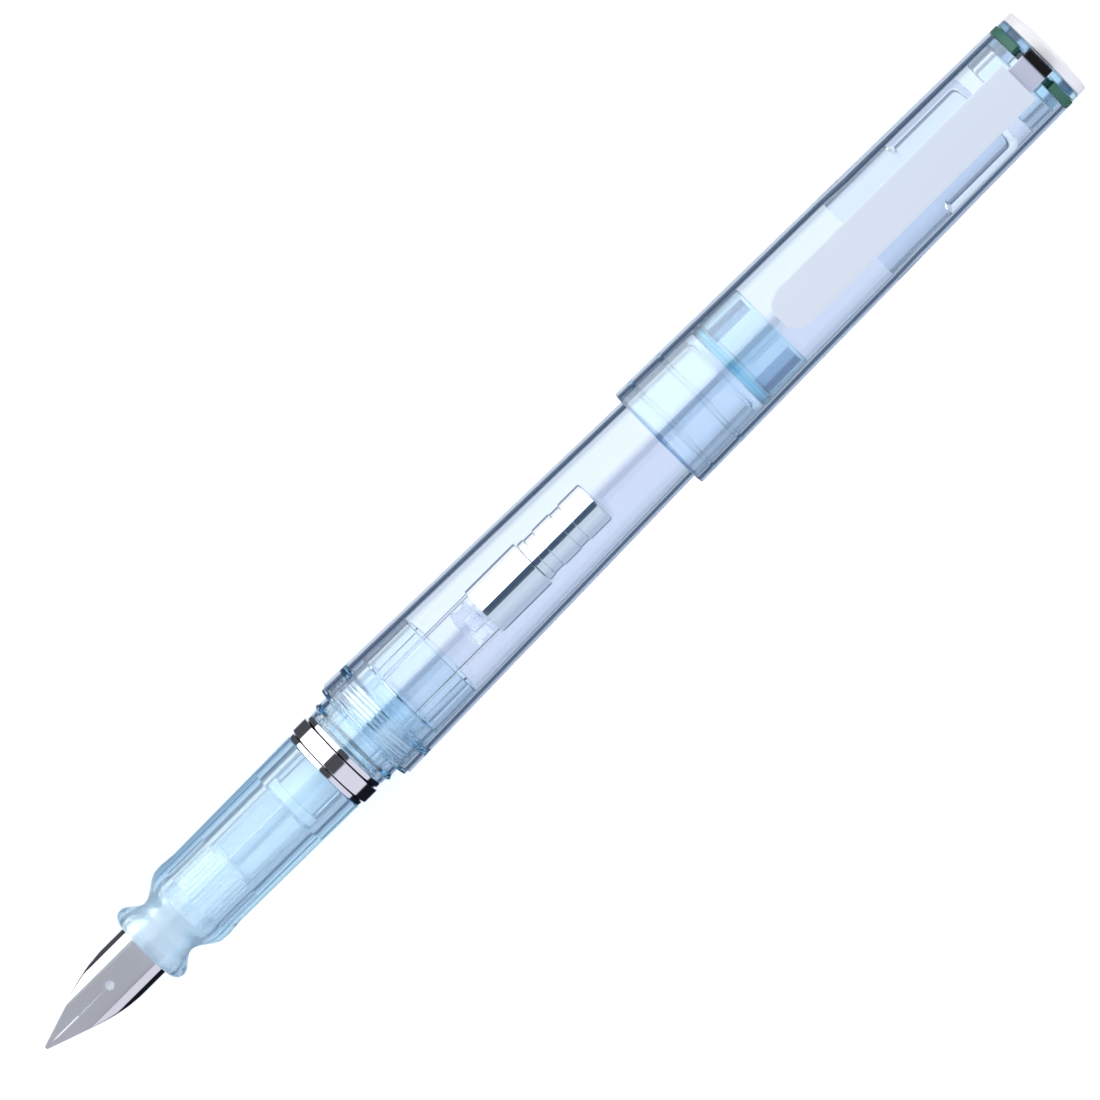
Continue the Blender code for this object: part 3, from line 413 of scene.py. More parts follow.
# ---------------- feed collar
# A moulded holder, pushed into the grip's bore and kept from turning by its splines. The nib and the feed
# are held in its front, and its rear end is the nipple that opens the converter.

COLLAR_R, COLLAR_REAR_R, COLLAR_BORE_R = 3.08, 3.0, 2.68
SPLINE_COUNT, SPLINE_DEPTH, BORE_SPLINE_DEPTH = 36, 0.18, 0.03
SPLINES = (23.6, 29.1)
COLLAR_END, COLLAR_BORE_END = 38.3, 30.0
NIPPLE_R, INK_HOLE_R = 1.42, 0.55
GUARD, ARC_STEP, MOST_OF_SIDE = 0.06, math.radians(15), 0.47


def outline(corners):
    """The line of a turned piece through corners (station, radius, rounding), in order round its section.

    A rounded corner becomes the arc of a circle of that radius between the points where it touches both
    sides. A long side gets a point near each of its ends, which keeps the shading between them even.
    A line that doesn't start on the axis closes on itself.
    """
    ring = corners[0][1] > 0
    spots = np.array([corner[:2] for corner in corners], float)
    parts = []
    for i, corner in enumerate(corners):
        here, rounding = spots[i], corner[2] if len(corner) > 2 else 0.0
        if rounding == 0 or (not ring and i in (0, len(corners) - 1)):
            parts.append(here[None])
            continue
        back, on = spots[i - 1] - here, spots[(i + 1) % len(spots)] - here
        lengths = np.linalg.norm(back), np.linalg.norm(on)
        back, on = back / lengths[0], on / lengths[1]
        half = math.acos(np.clip(back @ on, -1, 1)) / 2
        touch = min(rounding / math.tan(half), MOST_OF_SIDE * min(lengths))
        centre = here + (back + on) / np.linalg.norm(back + on) * touch / math.cos(half)
        turn = math.pi - 2 * half
        share = np.linspace(0, 1, max(3, math.ceil(turn / ARC_STEP) + 1))[:, None]
        first, last = here + back * touch - centre, here + on * touch - centre
        arc = np.sin((1 - share) * turn) * first + np.sin(share * turn) * last
        parts.append(centre + arc / math.sin(turn))
    line = np.concatenate(parts)
    following = np.roll(line, -1, 0) if ring else line[1:]
    full = []
    for start, stop in zip(line, following):
        full.append(start[None])
        length = np.linalg.norm(stop - start)
        if length > 5 * GUARD:
            full.append(start + (stop - start) * np.array([[GUARD / length], [1 - GUARD / length]]))
    if not ring:
        full.append(line[-1:])
    return np.concatenate(full)


def spun(line, angle, shape=None):
    """The points y = r sin(a), z = r cos(a) for every point of the line and every angle."""
    angle = angle[None, :]
    x, r = line[:, :1] + 0 * angle, line[:, 1:] * INSIDE_FLATS + 0 * angle
    if shape is not None:
        r = shape(x, r, angle + 0 * x)
    return np.stack([x, r * np.sin(angle), r * np.cos(angle)], -1)


def turned(name, corners, material, body, slot, sides=144, shape=None, node=None):
    """A piece spun about the pen's axis and fitted in place of the node that it is named after.

    shape(station, radius, angle) gives the radius that a point moves to. An outline that starts and ends
    on the axis makes a piece with closed ends, and any other makes a piece with a hole.
    """
    line = outline(corners)
    grid = spun(line, np.linspace(0, 2 * math.pi, sides, endpoint=False), shape)
    piece = skin(name, [grid], loop_rows=bool(line[0, 1] > 0))
    fit(piece, material, body, slot, node or name.removesuffix("_body"))
    return piece


def rows(start, stop, radius, count):
    """Corners that share one radius, evenly along the pen."""
    return [(x, radius) for x in np.linspace(start, stop, count)]


def splines(angle, depth):
    """Round ridges and valleys: depth times half of 1 + cos of the splines' count times the angle."""
    return depth * (1 + np.cos(SPLINE_COUNT * angle)) / 2


def make_collar():
    def shape(x, r, angle):
        splined = (x > SPLINES[0]) & (x < SPLINES[1]) & (r > COLLAR_BORE_R + 0.1)
        return np.where(splined, r - splines(angle, SPLINE_DEPTH), r)

    front, rear = ends("feed_collar")
    groove = COLLAR_R - SPLINE_DEPTH
    turned("feed_collar_body", [
        (front, COLLAR_BORE_R, 0.08), (front, groove, 0.08), (SPLINES[0] - 0.1, groove),
        *rows(SPLINES[0] + 0.05, SPLINES[1] - 0.05, COLLAR_R, 3), (SPLINES[1] + 0.1, groove),
        (COLLAR_END, COLLAR_REAR_R, 0.25), (COLLAR_END, NIPPLE_R, 0.15), (rear, NIPPLE_R - 0.1, 0.2),
        (rear, INK_HOLE_R, 0.08), (COLLAR_BORE_END, INK_HOLE_R), (COLLAR_BORE_END, COLLAR_BORE_R),
    ], hazy_plastic("collar_plastic", (0.95, 0.975, 1.0), 0.25, 0.07, 0.8),
        "grip", "milky_plastic", SPLINE_COUNT * 8, shape)


make_collar()


# ---------------- grip section
# One thick moulding in clear pale blue: a lip round the nib, a waisted neck, the grip, and a tail with a
# coarse right-hand thread that screws into the barrel. Splines are moulded in its bore for the collar.

LIP_CREST, LIP_FACE_R = 16.85, 4.2
LIP_R, NECK_R, SHOULDER_R, WAIST_R, GRIP_END_R = 5.14, 3.76, 5.53, 5.36, 5.57
NECK, SHOULDER, SHOULDER_CREST, WAIST, GRIP_END = 19.35, 22.9, 23.7, 25.4, 44.16
TAIL_R = 4.45
LIP_HOLE_R, LIP_HOLE_END = 3.62, 16.9
GRIP_BORE_R, GRIP_BORE_START = 3.2, 18.6
CONVERTER_BORE, CONVERTER_BORE_R = 38.5, 3.6
THREAD_START, THREAD_PITCH, THREAD_TURNS = 51.2, 1.1, 3
THREAD_DEPTH, THREAD_GAP = 0.42, 0.16
THREAD_END = THREAD_START + THREAD_PITCH * THREAD_TURNS


def eased(start, stop, steps):
    """From one (station, radius) to another along half a cosine, level at both ends."""
    share = np.linspace(0, 1, steps + 1)[1:]
    lift = (1 - np.cos(math.pi * share)) / 2
    return [*(np.array(start) + np.subtract(stop, start) * np.column_stack([share, lift]))]


def nose_arc(centre, size, steps=9):
    """A quarter of an ellipse, from its foremost point up to its crest."""
    turn = np.linspace(math.pi, math.pi / 2, steps)
    return [*(np.array(centre) + np.column_stack([np.cos(turn), np.sin(turn)]) * size)]


def threaded(root, at_start=0.0):
    """A shape for turned(): the radius rises from root along a helix, as half of 1 - cos.

    The helix grows from at_start over its first half turn and runs out to nothing over its last.
    """

    def shape(x, r, angle):
        turns = (x - THREAD_START) / THREAD_PITCH
        run_in, run_out = np.clip(turns * 2, 0, 1), np.clip((THREAD_TURNS - turns) * 2, 0, 1)
        helix = (1 - np.cos(2 * math.pi * turns - (math.pi / 2 - angle))) / 2
        rise = (helix * run_in * run_out) * THREAD_DEPTH + at_start * (1 - run_in)
        on_it = (turns > -1e-4) & (turns < THREAD_TURNS + 1e-4) & (abs(r - root * INSIDE_FLATS) < 1e-4)
        return np.where(on_it, r + rise, r)

    return shape


def blue_dye(plastic, depth):
    return plastic.node("ShaderNodeVolumeAbsorption", sockets={"Color": (0.24, 0.67, 0.86), "Density": depth})


def blue_plastic(name, depth, roughness, cloudiness=0.0):
    """Clear plastic coloured in the mass, so that thick walls and edges are bluer, by depth per metre.

    Flow from the mould leaves it a little uneven inside. Cloudy plastic is cloudiest at the neck.
    """
    plastic = Recipe(name)
    colour = (0.965, 0.98, 0.99)
    flow = plastic.noise(160.0, 2.0, (0.25, 1.0, 1.0))
    grain = plastic.noise(3000.0, 2.0)
    shade = plastic.blend(flow, colour, (0.94, 0.97, 0.985))
    shader = plastic.clear(shade, grain * 0.02 + roughness)
    if cloudiness:
        milk = plastic.principled(base_color=(0.70, 0.86, 0.95), roughness=0.3, ior=1.5)
        neck = plastic.station().within((LIP_CREST - 0.6, LIP_CREST + 0.4), (SHOULDER - 1.2, SHOULDER_CREST))
        shader = plastic.mix(neck * 0.2 + cloudiness, shader, milk)
    return finish_clear(plastic, shader, colour, Volume=blue_dye(plastic, depth))


def make_grip():
    def shape(x, r, angle):
        splined = (x > SPLINES[0] - 0.1) & (x < SPLINES[1] + 0.1) & (r < GRIP_BORE_R + 0.05)
        return threaded(TAIL_R)(x, np.where(splined, r - splines(angle, BORE_SPLINE_DEPTH), r), angle)

    front, rear = ends("grip_section")
    bore_splines = [(SPLINES[1] + 0.15, GRIP_BORE_R), *rows(SPLINES[1], SPLINES[0], GRIP_BORE_R, 4)]
    turned("grip_body", [
        *nose_arc((LIP_CREST, LIP_FACE_R), (LIP_CREST - front, LIP_R - LIP_FACE_R)),
        *eased((LIP_CREST, LIP_R), (NECK, NECK_R), 16),
        *eased((NECK, NECK_R), (SHOULDER, SHOULDER_R - 0.05), 18), (SHOULDER_CREST, SHOULDER_R, 0.6),
        (WAIST, WAIST_R, 3.0), (GRIP_END, GRIP_END_R, 0.12), (GRIP_END, TAIL_R),
        *rows(THREAD_START, THREAD_END, TAIL_R, 49), (rear, TAIL_R - 0.05, 0.25),
        (rear, CONVERTER_BORE_R, 0.15), (CONVERTER_BORE, CONVERTER_BORE_R), (CONVERTER_BORE, GRIP_BORE_R),
        *bore_splines, (SPLINES[0] - 0.15, GRIP_BORE_R), (GRIP_BORE_START, GRIP_BORE_R, 0.3),
        (LIP_HOLE_END, LIP_HOLE_R, 0.3), (front, LIP_HOLE_R, 0.25),
    ], blue_plastic("grip_plastic", 86.0, 0.0, 0.09),
        "grip", "blue_plastic", SPLINE_COUNT * 5, shape, node="grip_section")


make_grip()


# ---------------- trim ring
# One brass ring, turned with a wide band between two thin lips, then plated bright. It turns with the grip.

RING_BORE_R, RING_LIP_R, RING_GROOVE_R, RING_BAND_R = 4.62, 5.53, 5.28, 5.82
RING_LIP, RING_GROOVE = 0.62, 0.16


def bright_plating(name, groove, colour=(0.90, 0.90, 0.92)):
    """Plated metal: mirror bright, with the faintest turning lines round it and a few handling marks.

    Below the radius of its grooves, in its grooves and bore, the colour is painted near black as painted
    shade.
    """
    metal = Recipe(name)
    marks = metal.noise(1400.0, 5.0, (6.0, 1.0, 1.0), 0.65)
    roughness = 0.025 + marks.between(0.55, 0.8) * 0.05
    across, up = metal.place("Y"), metal.place("Z") - AXIS_Z
    from_axis = (across * across + up * up).math("SQRT")
    # Painted shade: the colour turns near black below the groove radius, where the grooves and bores lie.
    shade = metal.blend(from_axis.between(groove * MM, (groove + 0.12) * MM), (0.03, 0.03, 0.035), colour)
    return metal.finish(metal.principled(base_color=shade, metallic=1.0, roughness=roughness))


front, rear = ends("trim_ring")
lip_in, lip_out = front + RING_LIP, rear - RING_LIP
turned("trim_ring_body", [
    (front, RING_BORE_R, 0.04), (front, RING_LIP_R, 0.1), (lip_in, RING_LIP_R, 0.06),
    (lip_in, RING_GROOVE_R, 0.03), (lip_in + RING_GROOVE, RING_GROOVE_R, 0.03),
    (lip_in + RING_GROOVE, RING_BAND_R, 0.09), (lip_out - RING_GROOVE, RING_BAND_R, 0.09),
    (lip_out - RING_GROOVE, RING_GROOVE_R, 0.03), (lip_out, RING_GROOVE_R, 0.03),
    (lip_out, RING_LIP_R, 0.06), (rear, RING_LIP_R, 0.1), (rear, RING_BORE_R, 0.04),
], bright_plating("ring_plating", RING_GROOVE_R), "ring", "chrome")


# ---------------- barrel insert
# A clear-blue threaded sleeve, moulded by itself and bonded into the barrel's mouth by one broad rib.
# It shows the ridge that the cap snaps over and a flange; its tail has four shallow ribs inside.

BARREL_FRONT, BARREL_REAR = ends("barrel_tube")
BARREL_FRONT_R, BARREL_REAR_R, BARREL_WALL = 6.94, 5.62, 0.8
INSERT_NOSE_R, INSERT_NECK_R, FLANGE_R, FLANGE_FRONT = 5.55, 5.72, 6.68, 50.4
SNAP_FRONT, SNAP_CREST, SNAP_BACK, SNAP_R = 48.4, 48.8, 49.3, 5.95
SLEEVE_GAP, BOND = 0.13, 0.02
BOND_RIB = (53.4, 54.5)
THREAD_MOUTH_R = 5.03
TAIL_STOP, TAIL_BORE_R, TAIL_BORE = 56.2, 5.0, 56.45
TAIL_RIB_FROM, TAIL_RIB_TO, TAIL_RIB_RISE = math.radians(27), math.radians(57), 0.2


def barrel_r(x):
    """Outside of the barrel: a straight taper."""
    share = (x - BARREL_FRONT) / (BARREL_REAR - BARREL_FRONT)
    return BARREL_FRONT_R + (BARREL_REAR_R - BARREL_FRONT_R) * share


def barrel_bore_r(x):
    return barrel_r(x) - BARREL_WALL


def make_barrel_insert():
    root = TAIL_R + THREAD_GAP
    thread = threaded(root, THREAD_MOUTH_R - root)

    def shape(x, r, angle):
        from_side = abs(np.arcsin(np.sin(angle)))
        rib = plateau(from_side, (TAIL_RIB_FROM, TAIL_RIB_FROM + 0.03), (TAIL_RIB_TO - 0.03, TAIL_RIB_TO))
        in_tail = (x > TAIL_BORE - 0.1) & (r < TAIL_BORE_R + 0.02)
        return thread(x, np.where(in_tail, r - TAIL_RIB_RISE * rib, r), angle)

    def sleeve(x):
        return barrel_bore_r(x) - SLEEVE_GAP

    front, rear = ends("barrel_insert")
    rib_front, rib_rear = BOND_RIB
    turned("barrel_insert_body", [
        (front, INSERT_NOSE_R, 0.1), (SNAP_FRONT, INSERT_NOSE_R, 0.15), (SNAP_CREST, SNAP_R, 0.12),
        (SNAP_BACK, INSERT_NECK_R, 0.15), (FLANGE_FRONT, INSERT_NECK_R, 0.15),
        (FLANGE_FRONT, FLANGE_R, 0.12), (BARREL_FRONT - 0.05, FLANGE_R, 0.08),
        (BARREL_FRONT - 0.05, sleeve(BARREL_FRONT)), (rib_front, sleeve(rib_front), 0.03),
        (rib_front + 0.05, barrel_bore_r(rib_front) + BOND, 0.03),
        (rib_rear - 0.05, barrel_bore_r(rib_rear) + BOND, 0.03), (rib_rear, sleeve(rib_rear), 0.03),
        (rear, sleeve(rear), 0.2), (rear, TAIL_BORE_R, 0.15), (TAIL_BORE, TAIL_BORE_R), (TAIL_STOP, root),
        *rows(THREAD_END, THREAD_START, root, 49), (THREAD_START - 0.05, THREAD_MOUTH_R),
        (front, THREAD_MOUTH_R, 0.1),
    ], blue_plastic("insert_plastic", 130.0, 0.02), "barrel", "blue_plastic", 240, shape)


make_barrel_insert()


# ---------------- barrel tube
# Injection-moulded clear plastic, tapering to the rear and closed there by its own end. It is polished,
# and it carries the fine scuffs of a pocket.

BARREL_END_WALL, BARREL_END_ROUND, BARREL_EDGE = 0.8, 0.6, 0.3


def clear_plastic(name, colour, scuffs=0.05, ior=1.49, thin_from=None):
    """Clear plastic with a polished skin: hairline scuffs run mostly along it, in patches.

    Past the station thin_from the wall is so thin and even that it hardly bends the light.
    """
    plastic = Recipe(name)
    hairs = plastic.noise(2200.0, 3.0, (0.06, 1.0, 1.0))
    patches = plastic.noise(90.0, 2.0)
    scuffed = hairs.between(0.62, 0.72) * patches.between(0.45, 0.7)
    flow = plastic.noise(120.0, 2.0, (0.3, 1.0, 1.0))
    shade = plastic.blend(flow, colour, tuple(0.985 * c for c in colour))
    shader = plastic.clear(shade, scuffed * scuffs, ior)
    if thin_from:
        thin = plastic.station().between(thin_from, thin_from + 0.3)
        shader = plastic.mix(thin, shader, plastic.clear(shade, 0.03, 1.05))
    return finish_clear(plastic, shader, colour)


bottom = BARREL_REAR - BARREL_END_WALL
turned("barrel_body", [
    (bottom, 0.0), (bottom, barrel_bore_r(bottom), BARREL_END_ROUND),
    (BARREL_FRONT, barrel_bore_r(BARREL_FRONT), 0.08), (BARREL_FRONT, BARREL_FRONT_R, 0.12),
    (BARREL_REAR, BARREL_REAR_R, BARREL_EDGE), (BARREL_REAR, 0.0),
], clear_plastic("barrel_plastic", (0.955, 0.975, 1.0), thin_from=bottom - 0.7),
    "barrel", "clear_plastic", 192, node="barrel_tube")


# ---------------- converter body
# The ink pump, pushed on to the nipple: a soft hazy mouth, a clear tube, a plated brass sleeve crimped
# over the tube's end, and a white guide inside that the rod slides in.

TUBE_R, TUBE_BORE_R, TUBE_END = 2.95, 2.55, 76.6
MOUTH_FLANGE_END, MOUTH_FLANGE_R, MOUTH_BORE_R = 39.9, 3.35, 1.55
SLEEVE_R, KNOB_NECK_R = 3.2, 2.05
GUIDE_BORE_R = 1.62


def moulded_white(name, colour, roughness=0.35):
    """Opaque white plastic with a fine grain from the mould and slight dirt that varies at random."""
    plastic = Recipe(name)
    grain = plastic.noise(5000.0, 3.0)
    tone = plastic.noise(300.0, 2.0)
    shade = plastic.blend(tone, colour, tuple(0.94 * c for c in colour))
    normal, roughness = plastic.bump(grain, 0.15, 0.00001), (grain - 0.5) * 0.2 + roughness
    return plastic.finish(plastic.principled(base_color=shade, roughness=roughness, ior=1.5, normal=normal))


front, rear = ends("converter_mouth")
turned("converter_mouth_body", [
    (front, MOUTH_BORE_R, 0.2), (front, MOUTH_FLANGE_R, 0.2), (MOUTH_FLANGE_END, MOUTH_FLANGE_R, 0.1),
    (MOUTH_FLANGE_END, TUBE_BORE_R - 0.05, 0.03), (rear, TUBE_BORE_R - 0.05, 0.15),
    (rear, MOUTH_BORE_R, 0.15),
], hazy_plastic("mouth_plastic", (0.88, 0.94, 0.98), 0.15, 0.3), "converter", "milky_plastic", 96)

front, rear = ends("converter_tube")
turned("converter_tube_body", [
    (front, TUBE_BORE_R, 0.06), (front, TUBE_R, 0.12), (rear, TUBE_R, 0.06), (rear, TUBE_BORE_R, 0.06),
], clear_plastic("converter_plastic", (0.99, 0.995, 1.0), 0.02, 1.1), "converter", "clear_plastic", 128)

front, rear = ends("converter_sleeve")
turned("converter_sleeve_body", [
    (front, TUBE_R + 0.05, 0.03), (front, SLEEVE_R, 0.1), (rear, SLEEVE_R, 0.15),
    (rear, KNOB_NECK_R + 0.06, 0.05), (TUBE_END + 0.05, KNOB_NECK_R + 0.06, 0.03),
    (TUBE_END + 0.05, TUBE_R + 0.05, 0.03),
], bright_plating("sleeve_plating", KNOB_NECK_R, (0.88, 0.89, 0.92)), "converter", "chrome", 128)

front, rear = ends("piston_guide")
turned("piston_guide_body", [
    (front, GUIDE_BORE_R, 0.1), (front, TUBE_BORE_R - 0.05, 0.15), (rear, TUBE_BORE_R - 0.05, 0.1),
    (rear, GUIDE_BORE_R, 0.1),
], moulded_white("guide_plastic", (0.86, 0.88, 0.90)), "converter", "white_plastic", 96)


# ---------------- knob and drive screw
# A plated brass cup with two shallow finger grooves, held in the sleeve by its neck, and the moulded
# two-start screw fixed in its bottom, which draws the piston when the knob is turned.

KNOB_R, KNOB_BORE_R, KNOB_BOTTOM, KNOB_EDGE = 2.8, 1.78, 86.5, 0.35
KNOB_FRONT = 77.51
FINGER_GROOVE_R, FINGER_GROOVES = 2.66, ((78.4, 79.9), (82.5, 84.0))
SCREW_CORE_R, SCREW_CREST_R, SCREW_LEAD, SCREW_STARTS = 0.62, 0.95, 4.0, 2

neck, rear = ends("converter_knob")
grooves = []
for start, stop in FINGER_GROOVES:
    grooves += [
        (start, KNOB_R, 0.06), (start + 0.1, FINGER_GROOVE_R, 0.08), (stop - 0.1, FINGER_GROOVE_R, 0.08),
        (stop, KNOB_R, 0.06),
    ]
turned("converter_knob_body", [
    (KNOB_BOTTOM, 0.0), (KNOB_BOTTOM, KNOB_BORE_R, 0.1), (neck, KNOB_BORE_R, 0.05),
    (neck, KNOB_NECK_R, 0.05), (KNOB_FRONT, KNOB_NECK_R, 0.03), (KNOB_FRONT, KNOB_R, 0.12), *grooves,
    (rear, KNOB_R, KNOB_EDGE), (rear, 0.0),
], bright_plating("knob_plating", KNOB_NECK_R, (0.88, 0.89, 0.92)), "knob", "chrome", 128)


def make_screw():
    front, rear = ends("drive_screw")

    def helix(x, r, angle):
        on_it = (r > (SCREW_CORE_R - 0.01) * INSIDE_FLATS) & (x > front + 0.15) & (x < rear - 0.3)
        phase = SCREW_STARTS * (math.pi / 2 - angle - 2 * math.pi * x / SCREW_LEAD)
        return np.where(on_it, r + (SCREW_CREST_R - SCREW_CORE_R) * (1 + np.cos(phase)) / 2, r)

    turned("drive_screw_body", [
        (front, 0.0), (front, SCREW_CORE_R, 0.1), *rows(front + 0.2, rear - 0.35, SCREW_CORE_R, 130),
        (rear, SCREW_CORE_R, 0.05), (rear, 0.0),
    ], moulded_white("screw_plastic", (0.85, 0.87, 0.90)), "knob", "white_plastic", 40, helix)


make_screw()


# ---------------- piston
# A hollow moulded rod, kept from turning by the guide, and the soft two-lipped seal pressed on its front.

SEAL_NOSE_R, SEAL_LIP_R, SEAL_WAIST_R, SEAL_LIP = 1.5, 2.5, 2.15, 0.35
ROD_R, ROD_STEM_R, ROD_BORE_R, ROD_BORE = 1.5, 0.9, 1.12, 69.2


def pale_silicone(name, whiteness):
    """Soft clear silicone: dull, with a powdery grain, and hardly there against what is behind it."""
    silicone = Recipe(name)
    colour = (0.96, 0.97, 0.99)
    grain = silicone.noise(4000.0, 4.0)
    shade = silicone.blend(grain, colour, (0.92, 0.94, 0.98))
    clear = silicone.clear(shade, 0.15 + grain * 0.2, 1.06)
    white = silicone.principled(base_color=shade, roughness=0.45)
    return finish_clear(silicone, silicone.mix(whiteness, clear, white), colour)


front, rear = ends("piston_seal")
rod_front, rod_rear = ends("piston_rod")
step = SEAL_LIP
turned("piston_seal_body", [
    (front, 0.0), (front, SEAL_NOSE_R, 0.2), (front + step, SEAL_LIP_R, 0.12),
    (front + 2 * step, SEAL_LIP_R, 0.12), (front + 3 * step, SEAL_WAIST_R, 0.15),
    (rear - 2 * step, SEAL_WAIST_R, 0.15), (rear - step, SEAL_LIP_R, 0.12), (rear, SEAL_LIP_R, 0.12),
    (rear, ROD_STEM_R + 0.05, 0.05), (rod_front - 0.05, ROD_STEM_R + 0.05, 0.03), (rod_front - 0.05, 0.0),
], pale_silicone("seal_silicone", 0.05), "piston", "seal_rubber", 96)

turned("piston_rod_body", [
    (rod_front, 0.0), (rod_front, ROD_STEM_R, 0.05), (rear + 0.05, ROD_STEM_R, 0.03),
    (rear + 0.05, ROD_R, 0.12), (rod_rear, ROD_R, 0.1), (rod_rear, ROD_BORE_R, 0.05),
    (ROD_BORE, ROD_BORE_R, 0.05), (ROD_BORE, 0.0),
], pale_silicone("rod_plastic", 0.12), "piston", "white_plastic", 80)


# ---------------- cap tube
# Clear plastic, open at both ends and polished like the barrel. Its bore narrows where the inner cap seats.

CAP_MOUTH, CAP_REAR = ends("cap_tube")
CAP_MOUTH_R, CAP_REAR_R = 7.0, 6.15
CAP_BORE = np.array([[97.3, 6.25], [115.6, 5.86], [128.9, 5.72], [132.9, 5.47], [155.65, 5.34]])


def cap_bore_r(x):
    """Straight between the marks of the bore."""
    return float(np.interp(x, CAP_BORE[:, 0], CAP_BORE[:, 1]))


bore = [(x, r, 2.0) for x, r in CAP_BORE[-2:0:-1]]
turned("cap_body", [
    (CAP_MOUTH, CAP_MOUTH_R, 0.2), (CAP_REAR, CAP_REAR_R, 0.1), (CAP_REAR, CAP_BORE[-1, 1], 0.08), *bore,
    (CAP_MOUTH, CAP_BORE[0, 1], 0.08),
], clear_plastic("cap_plastic", (0.95, 0.975, 1.0)), "cap", "clear_plastic", 192, node="cap_tube")


# ---------------- cap insert
# A thin clear-blue sleeve bonded in the cap's mouth by two fine ribs. A bead inside it snaps over the
# barrel's ridge, each side has a patch of painted shade, and a step stops the barrel when the cap is posted.

POST_CLEARANCE = 0.11
BEAD, BEAD_HALF, BEAD_RISE = 98.7, 0.55, 0.05
CAP_RIBS, CAP_RIB_HALF = (99.5, 103.9), 0.25
STOP_R, STOP_LENGTH, REAR_BORE_R = 5.58, 1.2, 5.6
STEP_GROOVE = (108.4, 109.4)
# Stations, angles and two tones of the patch of painted shade on each side of the insert.
SHADE_PATCH_STATIONS = (109.6, 114.9)
PATCH_SHADE_LIGHT, PATCH_SHADE_DARK = (0.44, 0.55, 0.68), (0.22, 0.32, 0.44)
SHADE_PATCH_SIDES = (
    (31.0, 51.0, PATCH_SHADE_LIGHT), (41.0, 51.0, PATCH_SHADE_DARK),
    (-55.0, -28.0, PATCH_SHADE_LIGHT), (-55.0, -43.0, PATCH_SHADE_DARK),
)


def shade_patched_plastic():
    """The insert's blue plastic, with a patch of painted shade in two tones on each side of it."""
    plastic = Recipe("cap_insert_plastic")
    station, turn = plastic.station(), plastic.turn() * (180 / math.pi)
    flow = plastic.noise(160.0, 2.0, (0.25, 1.0, 1.0))
    colour = (0.95, 0.975, 0.99)
    shade = plastic.blend(flow, colour, (0.92, 0.965, 0.985))
    front, rear = STEP_GROOVE
    past_step = rear + 0.1, rear + 0.2
    shade = plastic.blend(station.between(*past_step), shade, (0.84, 0.935, 0.97))
    shade = plastic.blend(station.between(CAP_MOUTH + 0.28, CAP_MOUTH + 0.38), (0.36, 0.52, 0.68), shade)
    shade = plastic.blend(station.within((front - 0.1, front), past_step), shade, (0.58, 0.84, 0.92))
    # Painted shade: a darker patch in two tones on each side, between these stations and angles.
    in_shade_patches = station.within(*([mark - 0.05, mark + 0.05] for mark in SHADE_PATCH_STATIONS))
    for low, high, patch_shade in SHADE_PATCH_SIDES:
        shade_patch = in_shade_patches * turn.within((low - 1, low + 1), (high - 1, high + 1))
        shade = plastic.blend(shade_patch, shade, patch_shade)
    shader = plastic.clear(shade, flow * 0.01)
    return finish_clear(plastic, shader, colour, Volume=blue_dye(plastic, 240.0))


def make_cap_insert():
    def outer(x):
        return cap_bore_r(x) - 0.1

    def bore(x):
        return barrel_r(x) + POST_CLEARANCE

    front, rear = ends("cap_insert")
    stop = BARREL_REAR + 0.05
    ribs = []
    for middle in CAP_RIBS:
        start, end = middle - CAP_RIB_HALF, middle + CAP_RIB_HALF
        ribs += [
            (start - 0.04, outer(start), 0.02), (start, cap_bore_r(start) + BOND, 0.02),
            (end, cap_bore_r(end) + BOND, 0.02), (end + 0.04, outer(end), 0.02),
        ]
    dent = (-0.05, 0), (0, 0.12), (0.2, 0.12), (0.25, 0)
    grooves = [(x + past, outer(x) - deep, 0.02) for x in STEP_GROOVE for past, deep in dent]
    turned("cap_insert_body", [
        (front, outer(front), 0.06), *ribs, *grooves, (rear, outer(rear), 0.08), (rear, REAR_BORE_R, 0.05),
        (stop + STOP_LENGTH, STOP_R), (stop, STOP_R, 0.05), (stop, bore(stop)),
        (BEAD + BEAD_HALF, bore(BEAD + BEAD_HALF), 0.1), (BEAD, bore(BEAD) - BEAD_RISE, 0.1),
        (BEAD - BEAD_HALF, bore(BEAD - BEAD_HALF), 0.1), (front, bore(front), 0.08),
    ], shade_patched_plastic(), "cap", "blue_plastic", 192)


make_cap_insert()


# ---------------- inner cap
# A clear cup pushed into the cap's narrow bore. It closes round the grip's lip, so that the nib stays wet.

INNER_STEP, INNER_MOUTH_R, INNER_BORE_R = 139.0, 5.2, 4.3
INNER_WALL, INNER_ROUND = 0.7, 0.8


front, rear = ends("inner_cap")
bottom = rear - INNER_WALL
seat = CAP_BORE[3, 0]
turned("inner_cap_body", [
    (bottom, 0.0), (bottom, INNER_BORE_R, INNER_ROUND), (INNER_STEP, INNER_BORE_R, 0.3),
    (INNER_STEP - INNER_ROUND, INNER_MOUTH_R, 0.4), (front, INNER_MOUTH_R, 0.08),
    (front, cap_bore_r(front) - 0.05, 0.1), (seat, cap_bore_r(seat) - 0.05, 1.0),
    (rear, cap_bore_r(rear) - 0.05, INNER_ROUND), (rear, 0.0),
], clear_plastic("inner_cap_plastic", (0.93, 0.955, 0.98), 0.2, 1.09), "cap", "clear_plastic", 160)


# ---------------- cap head
# A clear-blue plug closes the tube over a split green gasket, and the white finial's stud, pressed
# through the plug, holds the stack together. The clip's tongue goes down into the plug's slot.

